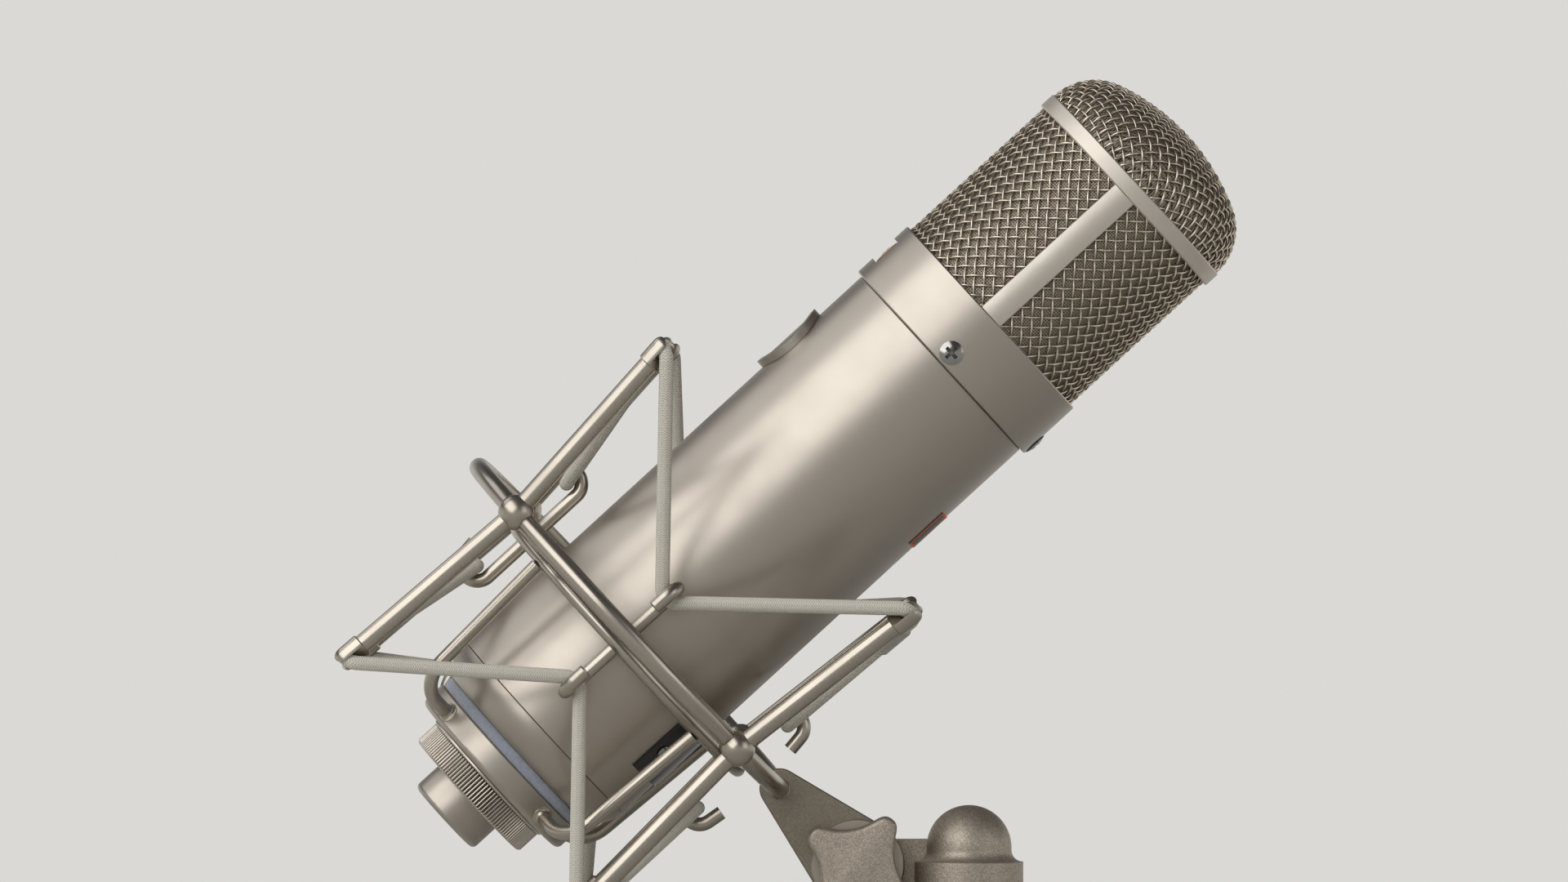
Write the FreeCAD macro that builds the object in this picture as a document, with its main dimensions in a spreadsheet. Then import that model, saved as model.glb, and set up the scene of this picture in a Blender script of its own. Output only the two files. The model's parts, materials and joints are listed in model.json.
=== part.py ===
"""Side-address condenser microphone in an elastic suspension, on a swivel stand adapter.

Millimetres and degrees. World frame: +Z up, origin at the mouth of the stand thread, the stand's
axis along Z. The microphone's axis, the suspension's axis and the stand's axis lie in the XZ plane,
and the swivel turns about Y.

Two tilted frames carry the rest. SUSPENSION has its origin at the centre of the outer ring and +Z
along the ring's axis. CRADLE has its origin at the centre of the inner ring and +Z along the
microphone's axis, with +X towards the back of the microphone.
"""

import FreeCAD, Part
import math
import os
import re
import Sketcher
from FreeCAD import Vector

SIZES = {
    # attitude
    "suspension_elevation": 43.1,
    "microphone_droop": 0.6,
    "cradle_sag": 5.5,
    "cradle_lean": 0.45,
    # fits
    "running_fit": 0.05,
    "seat_gap": 0.3,
    "edge_break": 0.3,
    # stand adapter
    "stand_height": 26.0,
    "stand_dia": 27.8,
    "stand_chamfer": 0.8,
    "stand_dome_dia": 21.8,
    "stand_dome_rise": 3.6,
    "thread_dia": 15.875,
    "thread_depth": 16.0,
    "lug_height": 13.2,
    "lug_end_dia": 23.0,
    "lug_thick": 7.0,
    "pivot_reach": 28.5,
    "pivot_drop": 1.0,
    # swivel
    "bolt_dia": 6.0,
    "bolt_head_dia": 13.0,
    "bolt_head_high": 3.5,
    "bolt_grip": 6.0,
    "friction_washer_dia": 22.0,
    "friction_washer_thick": 1.0,
    "plate_length": 28.0,
    "plate_slope": 44.6,
    "plate_thick": 3.0,
    "plate_big_dia": 24.0,
    "plate_small_dia": 10.4,
    "clamp_disc_dia": 23.8,
    "clamp_disc_thick": 1.5,
    "clamp_step_dia": 19.0,
    "clamp_step_thick": 0.4,
    "knob_dia": 30.0,
    "knob_thick": 9.0,
    "knob_waist": 19.2,
    "knob_hollow_dia": 32.0,
    "knob_lobe_round": 1.9,
    "knob_edge_round": 1.0,
    "knob_angle": 54.0,
    # outer frame of the suspension
    "outer_ring_dia": 112.6,
    "outer_wire_dia": 5.0,
    "ball_offset": 1.7,
    "ball_dia": 9.2,
    "arm_dia": 5.0,
    "arm_start": 3.2,
    "upper_arm_length": 59.2,
    "upper_arm_flare": 7.2,
    "lower_arm_length": 59.8,
    "lower_arm_flare": 3.5,
    "cap_length": 8.5,
    "cap_dia": 6.1,
    "cap_saddle_round": 1.5,
    "cap_saddle_slope": 24.0,
    # elastic cord
    "cord_dia": 3.5,
    "cord_clearance": 0.25,
    "cord_below_tip": 3.0,
    "cord_tip_bend": 3.5,
    "cord_hook_bend": 3.85,
    "sleeve_dia": 4.8,
    "sleeve_length": 10.0,
    "sleeve_from_tip": 10.5,
    "cord_end_gap": 0.5,
    # inner cradle
    "cradle_ring_dia": 83.4,
    "cradle_wire_dia": 3.6,
    "cradle_twist": -4.0,
    "hook_rise": 22.7,
    "hook_fall": 19.7,
    "hook_bend_dia": 8.0,
    "hook_fold": 9.3,
    "hook_flare": 1.0,
    "weld_gap": 0.05,
    "cup_drop": 37.7,
    "cup_height": 7.0,
    "cage_bend_round": 9.0,
    "cage_foot_dia": 78.0,
    "felt_inset": 0.5,
    "seat_bore": 30.0,
    "cup_round": 1.6,
    "felt_thick": 3.2,
    # base of the microphone
    "spigot_dia": 28.0,
    "spigot_length": 17.4,
    "lock_washer_dia": 39.6,
    "lock_washer_thick": 1.0,
    "nut_dia": 38.4,
    "nut_height": 6.6,
    "nut_chamfer": 1.0,
    "bell_height": 8.6,
    "bell_inset": 4.5,
    "bell_round": 10.6,
    "bell_floor": 4.0,
    "bell_lip_high": 4.0,
    "bell_lip_wall": 2.0,
    # connector
    "connector_dia": 21.7,
    "connector_wall": 1.6,
    "connector_drop": 26.1,
    "connector_lip_round": 1.4,
    "connector_flange": 1.5,
    "insert_drop": 14.5,
    "insert_thick": 8.5,
    "pin_dia": 2.4,
    "pin_circle_dia": 10.8,
    "pin_length": 10.5,
    "pin_tail": 3.0,
    # body
    "body_dia": 60.0,
    "body_wall": 1.5,
    "body_length": 137.8,
    "badge_centre": 24.5,
    "badge_dia": 20.0,
    "badge_proud": 2.0,
    "badge_rim": 1.4,
    "badge_recess": 0.6,
    "inlay_centre": 31.3,
    "inlay_high": 11.7,
    "inlay_wide": 18.8,
    "inlay_proud": 0.25,
    "serial_top": 111.3,
    "serial_high": 15.9,
    "serial_half_angle": 41.0,
    "serial_proud": 0.6,
    "serial_screw_dia": 3.4,
    "serial_screw_high": 0.9,
    "serial_screw_angle": 34.4,
    # chassis
    "chassis_plate_thick": 2.0,
    "chassis_foot": 5.0,
    "rail_dia": 4.0,
    "rail_inset": 6.5,
    "board_thick": 1.6,
    "board_offset": 4.0,
    "transformer_deep": 22.0,
    "transformer_wide": 30.0,
    "transformer_high": 32.0,
    "capacitor_dia": 11.0,
    "capacitor_high": 18.0,
    "capacitor_pitch": 16.0,
    "can_dia": 8.4,
    "can_high": 6.0,
    # head
    "collar_proud": 1.5,
    "collar_height": 17.3,
    "collar_wall": 2.6,
    "collar_screw_height": 3.7,
    "collar_screw_dia": 6.2,
    "collar_screw_high": 0.9,
    "collar_shank_dia": 3.0,
    "deck_height": 12.0,
    "deck_thick": 2.0,
    "selector_height": 8.9,
    "selector_hole_dia": 7.5,
    "selector_dia": 7.0,
    "selector_thick": 1.0,
    "selector_depth": 0.9,
    "selector_stand": 0.5,
    "selector_spindle_dia": 2.4,
    "selector_spindle_long": 8.0,
    "selector_dot_dia": 2.4,
    "selector_dot_proud": 0.15,
    "switch_side": 6.0,
    "switch_deep": 6.0,
    "grille_proud": 0.5,
    "grille_height": 46.0,
    "grille_thick": 1.1,
    "lattice_spacing": 10.4,
    "lattice_wire": 1.4,
    "lattice_relief": 0.5,
    "lattice_hem": 1.5,
    "liner_thick": 0.3,
    "liner_gap": 0.2,
    "strut_wide": 6.8,
    "strut_thick": 0.65,
    "band_proud": 1.25,
    "band_height": 4.3,
    "dome_proud": 1.0,
    "dome_shoulder": 15.5,
    "dome_crown": 57.0,
    # capsule
    "capsule_height": 24.0,
    "capsule_dia": 34.0,
    "backplate_thick": 5.0,
    "diaphragm_dia": 33.0,
    "diaphragm_thick": 0.15,
    "clamp_ring_bore": 28.0,
    "clamp_ring_thick": 1.2,
    "saddle_thick": 10.0,
    "saddle_wide": 22.0,
    "saddle_reach": 8.0,
}

doc = FreeCAD.newDocument("condenser_microphone")
sheet = doc.addObject("Spreadsheet::Sheet", "sizes")
for row, (alias, value) in enumerate(SIZES.items(), start=1):
    sheet.set(f"A{row}", alias)
    sheet.set(f"B{row}", str(value))
    sheet.setAlias(f"B{row}", alias)
doc.recompute()

WORD = re.compile(r"[a-z][a-z_]+")
NODES = []


# Texts of the sheet's sizes


def bound(text):
    """The text of an expression, with the sheet's name before each size in it."""
    return WORD.sub(lambda word: "sizes." * (word.group() in SIZES) + word.group(), text)


def bind(thing, **texts):
    """Sets properties of an object to expressions of the sheet's sizes."""
    for prop, text in texts.items():
        thing.setExpression(prop, bound(text))
    return thing


def size(text):
    """The number or placement that an expression of the sheet's sizes stands for."""
    return sheet.evalExpression(text)


def at(x="0", y="0", z="0", axis="0; 0; 1", turn="0"):
    """The text of a placement: a turn about an axis through the origin, then a move."""
    return f"placement(vector({x}; {y}; {z}); rotation(vector({axis}); {turn}))"


def around(angle):
    """The text of a turn about Z."""
    return at(turn=angle)


def chain(*places):
    """The text of several placements, each taken in the frame of the one before it."""
    return " * ".join(places)


# Solids


def shape(kind, name, place=at(), **texts):
    """A Part primitive with its sizes and its place bound to the sheet."""
    return bind(doc.addObject("Part::" + kind, name), Placement=place, **texts)


def rod_of(name, diameter, length, place=at()):
    """A plain cylinder that stands on its place along Z."""
    return shape("Cylinder", name, place, Radius=f"({diameter}) / 2", Height=length)


def fuse(name, *things):
    """One solid made of several."""
    joined = doc.addObject("Part::MultiFuse", name)
    joined.Shapes = list(things)
    return joined


def group(name, *things):
    """Separate solids that share one node."""
    together = doc.addObject("Part::Compound", name)
    together.Links = list(things)
    return together


def cut(name, base, *tools):
    """A solid with others taken away from it."""
    less = doc.addObject("Part::Cut", name)
    less.Base = base
    less.Tool = tools[0] if len(tools) == 1 else group(name + "_tools", *tools)
    return less


def common(name, one, other):
    """What two solids share."""
    shared = doc.addObject("Part::Common", name)
    shared.Base = one
    shared.Tool = other
    return shared


def blank_sketch(body, plane):
    """An empty sketch on one of a body's planes."""
    drawing = body.newObject("Sketcher::SketchObject", body.Name + "_sketch")
    origin = [feature for feature in body.Origin.OriginFeatures if feature.Role == plane]
    drawing.AttachmentSupport = (origin[0], [""])
    drawing.MapMode = "FlatFace"
    return drawing


def rule(drawing, text, kind, *parts):
    """A constraint of a sketch whose value follows an expression."""
    number = drawing.addConstraint(Sketcher.Constraint(kind, *parts, float(size(text))))
    drawing.setExpression(f"Constraints[{number}]", bound(text))


def outline_sketch(body, points, plane="XZ_Plane"):
    """A closed outline on one of a body's planes.

    Each point is a pair of texts. A third text is the radius of the arc that leads to the point
    from the one before it, positive where the arc bulges to the right of the way it runs.
    """
    drawing = blank_sketch(body, plane)
    places = [Vector(size(point[0]), size(point[1]), 0) for point in points]
    ends = []
    for start, end, point in zip(places, places[1:] + places[:1], points[1:] + points[:1]):
        if len(point) < 3:
            edge = drawing.addGeometry(Part.LineSegment(start, end))
            ends.append((edge, 1, 2))
            continue
        radius = size(point[2])
        half = (end - start) / 2
        left = Vector(-half.y, half.x, 0).normalize()
        bulge = math.copysign(1, radius)
        centre = start + half + left * bulge * math.sqrt(radius**2 - half.Length**2)
        middle = centre - left * radius
        edge = drawing.addGeometry(Part.Arc(start, middle, end))
        ends.append((edge, 1, 2) if bulge > 0 else (edge, 2, 1))
        rule(drawing, f"abs({point[2]})", "Radius", edge)
    for (edge, _, last), (following, first, _) in zip(ends, ends[1:] + ends[:1]):
        drawing.addConstraint(Sketcher.Constraint("Coincident", edge, last, following, first))
    for (edge, first, _), point in zip(ends, points):
        rule(drawing, point[0], "DistanceX", -1, 1, edge, first)
        rule(drawing, point[1], "DistanceY", -1, 1, edge, first)
    return drawing


def circle_sketch(body, diameter, x="0", plane="XY_Plane"):
    """A circle on one of a body's planes, with its centre on the first axis."""
    drawing = blank_sketch(body, plane)
    centre = Vector(size(x), 0, 0)
    edge = drawing.addGeometry(Part.Circle(centre, Vector(0, 0, 1), size(f"({diameter}) / 2")))
    rule(drawing, f"({diameter}) / 2", "Radius", edge)
    rule(drawing, x, "DistanceX", -1, 1, edge, 3)
    drawing.addConstraint(Sketcher.Constraint("PointOnObject", edge, 3, -1))
    return drawing


def turned(name, points, place=at()):
    """A solid of revolution about Z, from an outline of (radius, height) points."""
    body = bind(doc.addObject("PartDesign::Body", name), Placement=place)
    lathe = body.newObject("PartDesign::Revolution", name + "_turned")
    lathe.Profile = outline_sketch(body, points)
    lathe.ReferenceAxis = (lathe.Profile[0], ["V_Axis"])
    lathe.Angle = 360
    return body


def ring_of(name, inner, outer, low, high, place=at(), crisp="edge_break"):
    """A turned ring with its two outer edges broken."""
    points = [
        (inner, low),
        (f"{outer} - {crisp}", low),
        (outer, f"{low} + {crisp}"),
        (outer, f"{high} - {crisp}"),
        (f"{outer} - {crisp}", high),
        (inner, high),
    ]
    return turned(name, points, place)


def band_sector(name, inner, outer, low, high, start, sweep, place):
    """Part of a ring, from one azimuth round to another."""
    turn = chain(place, at(z=low), around(f"{start} - 90"))
    tall = f"{high} - {low}"
    block = shape("Cylinder", name + "_block", turn, Radius=outer, Height=tall, Angle=sweep)
    return cut(name, block, rod_of(name + "_bore", f"2 * {inner}", tall, turn))


def edges_where(solid, wanted):
    """The names of the edges of a solid that pass a test."""
    doc.recompute()
    return [f"Edge{n}" for n, edge in enumerate(solid.Shape.Edges, start=1) if wanted(edge)]


def path(points, radii):
    """Straight runs from point to point, joined by tangent arcs of the given radii."""
    edges = []
    start = points[0]
    for before, corner, after, radius in zip(points, points[1:], points[2:], radii):
        back = (before - corner).normalize()
        onward = (after - corner).normalize()
        half = back.getAngle(onward) / 2
        into = corner + back * (radius / math.tan(half))
        out = corner + onward * (radius / math.tan(half))
        inward = (back + onward).normalize()
        middle = corner + inward * (radius / math.sin(half) - radius)
        if (into - start).Length > 1e-6:
            edges.append(Part.LineSegment(start, into).toShape())
        edges.append(Part.Arc(into, middle, out).toShape())
        start = out
    edges.append(Part.LineSegment(start, points[-1]).toShape())
    return Part.Wire(edges)


def bent_rod(points, radii, diameter):
    """A round rod along runs and arcs, checked against its section times its length."""
    line = path(points, radii)
    section = Part.Circle(points[0], points[1] - points[0], diameter / 2)
    solid = line.makePipeShell([Part.Wire([section.toShape()])], True, False)
    expected = line.Length * math.pi * diameter**2 / 4
    assert abs(solid.Volume / expected - 1) < 0.01, (solid.Volume, expected)
    return solid


def feature(name, solids, place=at()):
    """An object whose shape is worked out here from the sheet's sizes."""
    made = doc.addObject("Part::Feature", name)
    made.Shape = solids[0] if len(solids) == 1 else Part.makeCompound(solids)
    return bind(made, Placement=place)


def node(label, thing):
    """Names a finished sub-part after its node."""
    thing.Label = label
    NODES.append(thing)
    return thing


# Frames

PIVOT_X = "(-pivot_reach)"
PIVOT_Z = "(stand_height - pivot_drop)"
TIE_X = f"({PIVOT_X} - plate_length * cos(plate_slope))"
TIE_Z = f"({PIVOT_Z} + plate_length * sin(plate_slope))"
RING_X = f"({TIE_X} - outer_ring_dia / 2 * sin(suspension_elevation))"
RING_Z = f"({TIE_Z} + outer_ring_dia / 2 * cos(suspension_elevation))"
TILT = "90 - suspension_elevation"
SUSPENSION = at(RING_X, "0", RING_Z, "0; 1; 0", TILT)
HUNG = f"{TILT} + microphone_droop"
CRADLE = at(f"{RING_X} - cradle_lean", "0", f"{RING_Z} - cradle_sag", "0; 1; 0", HUNG)
CAGE = chain(CRADLE, around("cradle_twist"))
CORNERS = (-45, 45, 135, 225)
SIDES = (0, 90, 180, 270)

# Heights along the microphone's axis, from the plane of the inner ring

SEAT = "(-cup_drop)"
CUP_TOP = f"({SEAT} - felt_thick)"
CUP_FOOT = f"({CUP_TOP} - cup_height)"
WASHER_FOOT = f"({CUP_FOOT} - lock_washer_thick)"
NUT_FOOT = f"({WASHER_FOOT} - nut_height)"
TUBE_FOOT = f"({SEAT} + bell_height)"
COLLAR_FOOT = f"({TUBE_FOOT} + body_length)"
GRILLE_FOOT = f"({COLLAR_FOOT} + collar_height)"
BAND_FOOT = f"({GRILLE_FOOT} + grille_height)"
DOME_FOOT = f"({BAND_FOOT} + band_height)"
DECK_TOP = f"({COLLAR_FOOT} + deck_height + deck_thick)"
CAPSULE = f"({GRILLE_FOOT} + capsule_height)"

# Radii, each counted from the body tube or the outer ring

TUBE_BORE = "(body_dia / 2 - body_wall)"
COLLAR_R = "(body_dia / 2 + collar_proud)"
COLLAR_BORE = f"({COLLAR_R} - collar_wall)"
GRILLE_R = "(body_dia / 2 + grille_proud)"
BAND_R = "(body_dia / 2 + band_proud)"
DOME_R = "(body_dia / 2 + dome_proud)"
BELL_R = "(body_dia / 2 - bell_inset)"
FELT_R = f"({BELL_R} - felt_inset)"
RAIL_R = f"({TUBE_BORE} - rail_inset)"
BALL_R = "(outer_ring_dia / 2 + ball_offset)"


def outward(azimuth, height, place=CRADLE):
    """The frame at an azimuth and height, with +Z pointing away from the axis and +Y along it."""
    return chain(place, around(azimuth), at(z=height), at(axis="1; 0; 0", turn="90"))


# Stand adapter and swivel


def across(name, diameter, start, end, place=at(PIVOT_X, "0", PIVOT_Z)):
    """A cylinder along Y, from one distance to another."""
    upright = chain(place, at(y=start, axis="1; 0; 0", turn="-90"))
    return rod_of(name, diameter, f"({end}) - ({start})", upright)


ON_PIVOT = at(PIVOT_X, "0", PIVOT_Z, "1; 0; 0", "-90")
BOLT_BORE = "(bolt_dia / 2 + running_fit)"
PLATE_BACK = "(plate_thick / 2)"
LUG_FRONT = f"({PLATE_BACK} + friction_washer_thick)"
LUG_BACK = f"({LUG_FRONT} + lug_thick)"
DISC_FRONT = f"(-{PLATE_BACK} - clamp_disc_thick)"
KNOB_BACK = f"({DISC_FRONT} - clamp_step_thick)"


def stand_adapter():
    """Adapter with its dome, its side lug and the stand's thread."""
    neck = "(stand_dome_dia / 2)"
    throat = f"(stand_dia / 2 - {neck})"
    outline = [
        ("0", "0"),
        ("stand_dia / 2 - stand_chamfer", "0"),
        ("stand_dia / 2", "stand_chamfer"),
        ("stand_dia / 2", "stand_height"),
        (neck, f"stand_height + {throat}", f"-{throat}"),
        (neck, "stand_height + stand_dome_rise"),
        ("0", f"stand_height + stand_dome_rise + {neck}", neck),
    ]
    post = turned("adapter_post", outline)
    corner = at(PIVOT_X, LUG_FRONT, f"{PIVOT_Z} - lug_height / 2")
    sides = {"Length": "pivot_reach", "Width": "lug_thick", "Height": "lug_height"}
    lug = shape("Box", "adapter_lug", corner, **sides)
    end = across("adapter_lug_end", "lug_end_dia", LUG_FRONT, LUG_BACK)
    hole = across("adapter_lug_hole", f"2 * {BOLT_BORE}", "0", f"{LUG_BACK} + lug_thick")
    thread = rod_of("adapter_thread", "thread_dia", "thread_depth")
    node("stand_adapter", cut("adapter", fuse("adapter_solid", post, lug, end), hole, thread))


def bolt_and_washers():
    """Pivot bolt, friction washer and clamp disc."""
    crown = "(bolt_head_high / 2)"
    outline = [
        ("0", f"{KNOB_BACK} - bolt_grip"),
        ("bolt_dia / 2", f"{KNOB_BACK} - bolt_grip"),
        ("bolt_dia / 2", LUG_BACK),
        ("bolt_head_dia / 2", LUG_BACK),
        ("bolt_head_dia / 2", f"{LUG_BACK} + {crown}"),
        (f"bolt_head_dia / 2 - {crown}", f"{LUG_BACK} + bolt_head_high", crown),
        ("0", f"{LUG_BACK} + bolt_head_high"),
    ]
    node("pivot_bolt", turned("bolt", outline, ON_PIVOT))
    washer = ring_of("washer", BOLT_BORE, "(friction_washer_dia / 2)", PLATE_BACK, LUG_FRONT, ON_PIVOT)
    node("friction_washer", washer)
    outline = [
        (BOLT_BORE, KNOB_BACK),
        ("clamp_step_dia / 2", KNOB_BACK),
        ("clamp_step_dia / 2", DISC_FRONT),
        ("clamp_disc_dia / 2 - edge_break", DISC_FRONT),
        ("clamp_disc_dia / 2", f"{DISC_FRONT} + edge_break"),
        ("clamp_disc_dia / 2", f"-{PLATE_BACK}"),
        (BOLT_BORE, f"-{PLATE_BACK}"),
    ]
    node("clamp_disc", turned("clamp", outline, ON_PIVOT))


def bracket_plate():
    """Tapered link from the pivot bolt to the outer ring."""
    big = "(plate_big_dia / 2)"
    small = "(plate_small_dia / 2)"
    lean = f"asin(({big} - {small}) / plate_length)"
    body = doc.addObject("PartDesign::Body", "plate_blank")
    outline = [
        (f"{big} * sin({lean})", f"-{big} * cos({lean})", big),
        (f"plate_length + {small} * sin({lean})", f"-{small} * cos({lean})"),
        (f"plate_length + {small}", "0", small),
        (f"plate_length + {small} * sin({lean})", f"{small} * cos({lean})", small),
        (f"{big} * sin({lean})", f"{big} * cos({lean})"),
        (f"-{big}", "0", big),
    ]
    pad = body.newObject("PartDesign::Pad", "plate_pad")
    pad.Profile = outline_sketch(body, outline, "XY_Plane")
    bind(pad, Length="plate_thick")
    broken = body.newObject("PartDesign::Chamfer", "plate_edges")
    broken.Base = (pad, edges_where(pad, lambda edge: edge.BoundBox.ZLength < 0.1))
    bind(broken, Size="edge_break")
    lying = at(axis="0; 1; 0", turn="180 + plate_slope")
    stood = at(axis="1; 0; 0", turn="90")
    bind(body, Placement=chain(at(PIVOT_X, PLATE_BACK, PIVOT_Z), lying, stood))
    pivot = across("plate_pivot_hole", f"2 * {BOLT_BORE}", "-plate_thick", "plate_thick")
    tie_point = at(TIE_X, "0", TIE_Z)
    wire = "outer_wire_dia + 2 * weld_gap"
    tie = across("plate_tie_hole", wire, "-plate_thick", "plate_thick", tie_point)
    node("bracket_plate", cut("plate", body, pivot, tie))


def clamp_knob():
    """Star knob: a disc with four hollows round its edge and a blind hole for the bolt."""
    body = doc.addObject("PartDesign::Body", "knob_blank")
    pad = body.newObject("PartDesign::Pad", "knob_pad")
    pad.Profile = circle_sketch(body, "knob_dia")
    bind(pad, Length="knob_thick")
    doc.recompute()
    hollow = body.newObject("PartDesign::Pocket", "knob_hollow")
    hollow.Profile = circle_sketch(body, "knob_hollow_dia", "(knob_waist + knob_hollow_dia) / 2")
    hollow.Type = "ThroughAll"
    hollow.Reversed = True
    hollows = body.newObject("PartDesign::PolarPattern", "knob_hollows")
    hollows.Originals = [hollow]
    hollows.Axis = (hollow.Profile[0], ["N_Axis"])
    hollows.Angle = 360
    hollows.Occurrences = 4
    body.Tip = hollows
    lobes = body.newObject("PartDesign::Fillet", "knob_lobes")
    upright = edges_where(hollows, lambda edge: edge.BoundBox.ZLength > SIZES["knob_thick"] / 2)
    lobes.Base = (hollows, upright)
    bind(lobes, Radius="knob_lobe_round")
    rims = body.newObject("PartDesign::Fillet", "knob_rims")
    rims.Base = (lobes, edges_where(lobes, lambda edge: edge.BoundBox.ZLength < 0.01))
    bind(rims, Radius="knob_edge_round")
    facing = at(PIVOT_X, KNOB_BACK, PIVOT_Z, "1; 0; 0", "90")
    bind(body, Placement=chain(facing, around("knob_angle + 45")))
    bottom = f"{KNOB_BACK} - bolt_grip - seat_gap"
    hole = across("knob_hole", f"2 * {BOLT_BORE}", bottom, f"{KNOB_BACK} + 1")
    node("clamp_knob", cut("knob", body, hole))


# Outer frame of the suspension and its elastic cords


def arm_frame(corner, word):
    """The frame at a joint ball, with +Z along the arm that leaves it."""
    spoke = chain(around(f"{corner - 90}"), at(x=BALL_R))
    lean = "upper_arm_flare" if word == "upper" else "180 - lower_arm_flare"
    return chain(SUSPENSION, spoke, at(axis="0; 1; 0", turn=lean))


def cord_route(word):
    """The corners of a cord that zigzags between the arms' tips and the hooks, with their bends.

    It goes round from the first arm's tip, to a hook and a tip in turn.
    """
    tip_depth = size(f"{word}_arm_length - cord_below_tip")
    inside = "hook_{} - cradle_wire_dia - cord_clearance - cord_dia / 2"
    hook_height = inside.format("rise") if word == "upper" else f"-({inside.format('fall')})"
    hook_radius = size(f"{HOOK_LEG} + hook_bend_dia / 2")
    peaks = []
    for corner, side in zip(CORNERS, SIDES):
        peaks.append(size(arm_frame(corner, word)).multVec(Vector(0, 0, tip_depth)))
        spoke = size(chain(CAGE, around(f"{side - 90}")))
        peaks.append(spoke.multVec(Vector(hook_radius, 0, size(hook_height))))
    bends = [SIZES["cord_tip_bend"], SIZES["cord_hook_bend"]] * 4
    corners = list(peaks)
    for _ in range(20):
        moved = []
        for index, (peak, corner, bend) in enumerate(zip(peaks, corners, bends)):
            back = (corners[index - 1] - corner).normalize()
            onward = (corners[(index + 1) % 8] - corner).normalize()
            half = back.getAngle(onward) / 2
            moved.append(peak - (back + onward).normalize() * (bend / math.sin(half) - bend))
        corners = moved
    return corners, bends


HOOK_LEG = "(cradle_ring_dia / 2 - cradle_wire_dia - weld_gap)"


def elastic(word, route, bends):
    """One elastic cord in its whole length, and the sleeve that joins its ends past the second tip."""
    tip, *others = route[2:] + route[:2]
    run = (others[0] - tip).normalize()
    middle = size("sleeve_from_tip + sleeve_length / 2")
    half_gap = run * size("cord_end_gap / 2")
    points = [tip + run * middle + half_gap]
    points += [*others, tip]
    points.append(tip + run * middle - half_gap)
    solid = bent_rod(points, [*bends[1:], bends[0]], SIZES["cord_dia"])
    node(f"elastic_{word}", feature(f"cord_{word}", [solid]))
    foot = tip + run * SIZES["sleeve_from_tip"]
    outer = Part.makeCylinder(size("sleeve_dia / 2"), SIZES["sleeve_length"], foot, run)
    bore = size("cord_dia / 2 + running_fit")
    return outer.cut(Part.makeCylinder(bore, SIZES["sleeve_length"], foot, run))


def slot_tool(name, place):
    """The slot that runs across an arm's cap, with the rounded saddle that the cord turns over."""
    body = doc.addObject("PartDesign::Body", name)
    centre = "(cap_length - cord_below_tip - cord_dia / 2 - cord_clearance - cap_saddle_round)"
    beside = "(cap_saddle_round * cos(cap_saddle_slope))"
    rise = f"({centre} + cap_saddle_round * sin(cap_saddle_slope))"
    foot = f"({rise} - (cap_dia - {beside}) / tan(cap_saddle_slope))"
    outline = [
        (beside, rise, "-cap_saddle_round"),
        ("cap_dia", foot),
        ("cap_dia", "2 * cap_length"),
        ("-cap_dia", "2 * cap_length"),
        ("-cap_dia", foot),
        (f"-{beside}", rise),
        ("0", f"{centre} + cap_saddle_round", "-cap_saddle_round"),
    ]
    pad = body.newObject("PartDesign::Pad", name + "_pad")
    pad.Profile = outline_sketch(body, outline, "YZ_Plane")
    bind(pad, Length="cord_dia + 2 * cord_clearance")
    return bind(body, Placement=chain(place, at(x="-cord_dia / 2 - cord_clearance")))


def channel_tool(name, before, corner, after):
    """The room that the cord needs where it turns over an arm's cap and leaves it."""
    reach = 2 * SIZES["cap_length"]
    start, end = (corner + (side - corner).normalize() * reach for side in (before, after))
    wide = size("cord_dia + 2 * running_fit")
    return feature(name, [bent_rod([start, corner, end], [SIZES["cord_tip_bend"]], wide)])


def arm_cap(name, place):
    """Round-nosed cap of an arm, before its slot is cut."""
    outline = [
        ("0", "0"),
        ("cap_dia / 2 - edge_break", "0"),
        ("cap_dia / 2", "edge_break"),
        ("cap_dia / 2", "cap_length - cap_dia / 2"),
        ("0", "cap_length", "cap_dia / 2"),
    ]
    return turned(name, outline, place)


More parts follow.
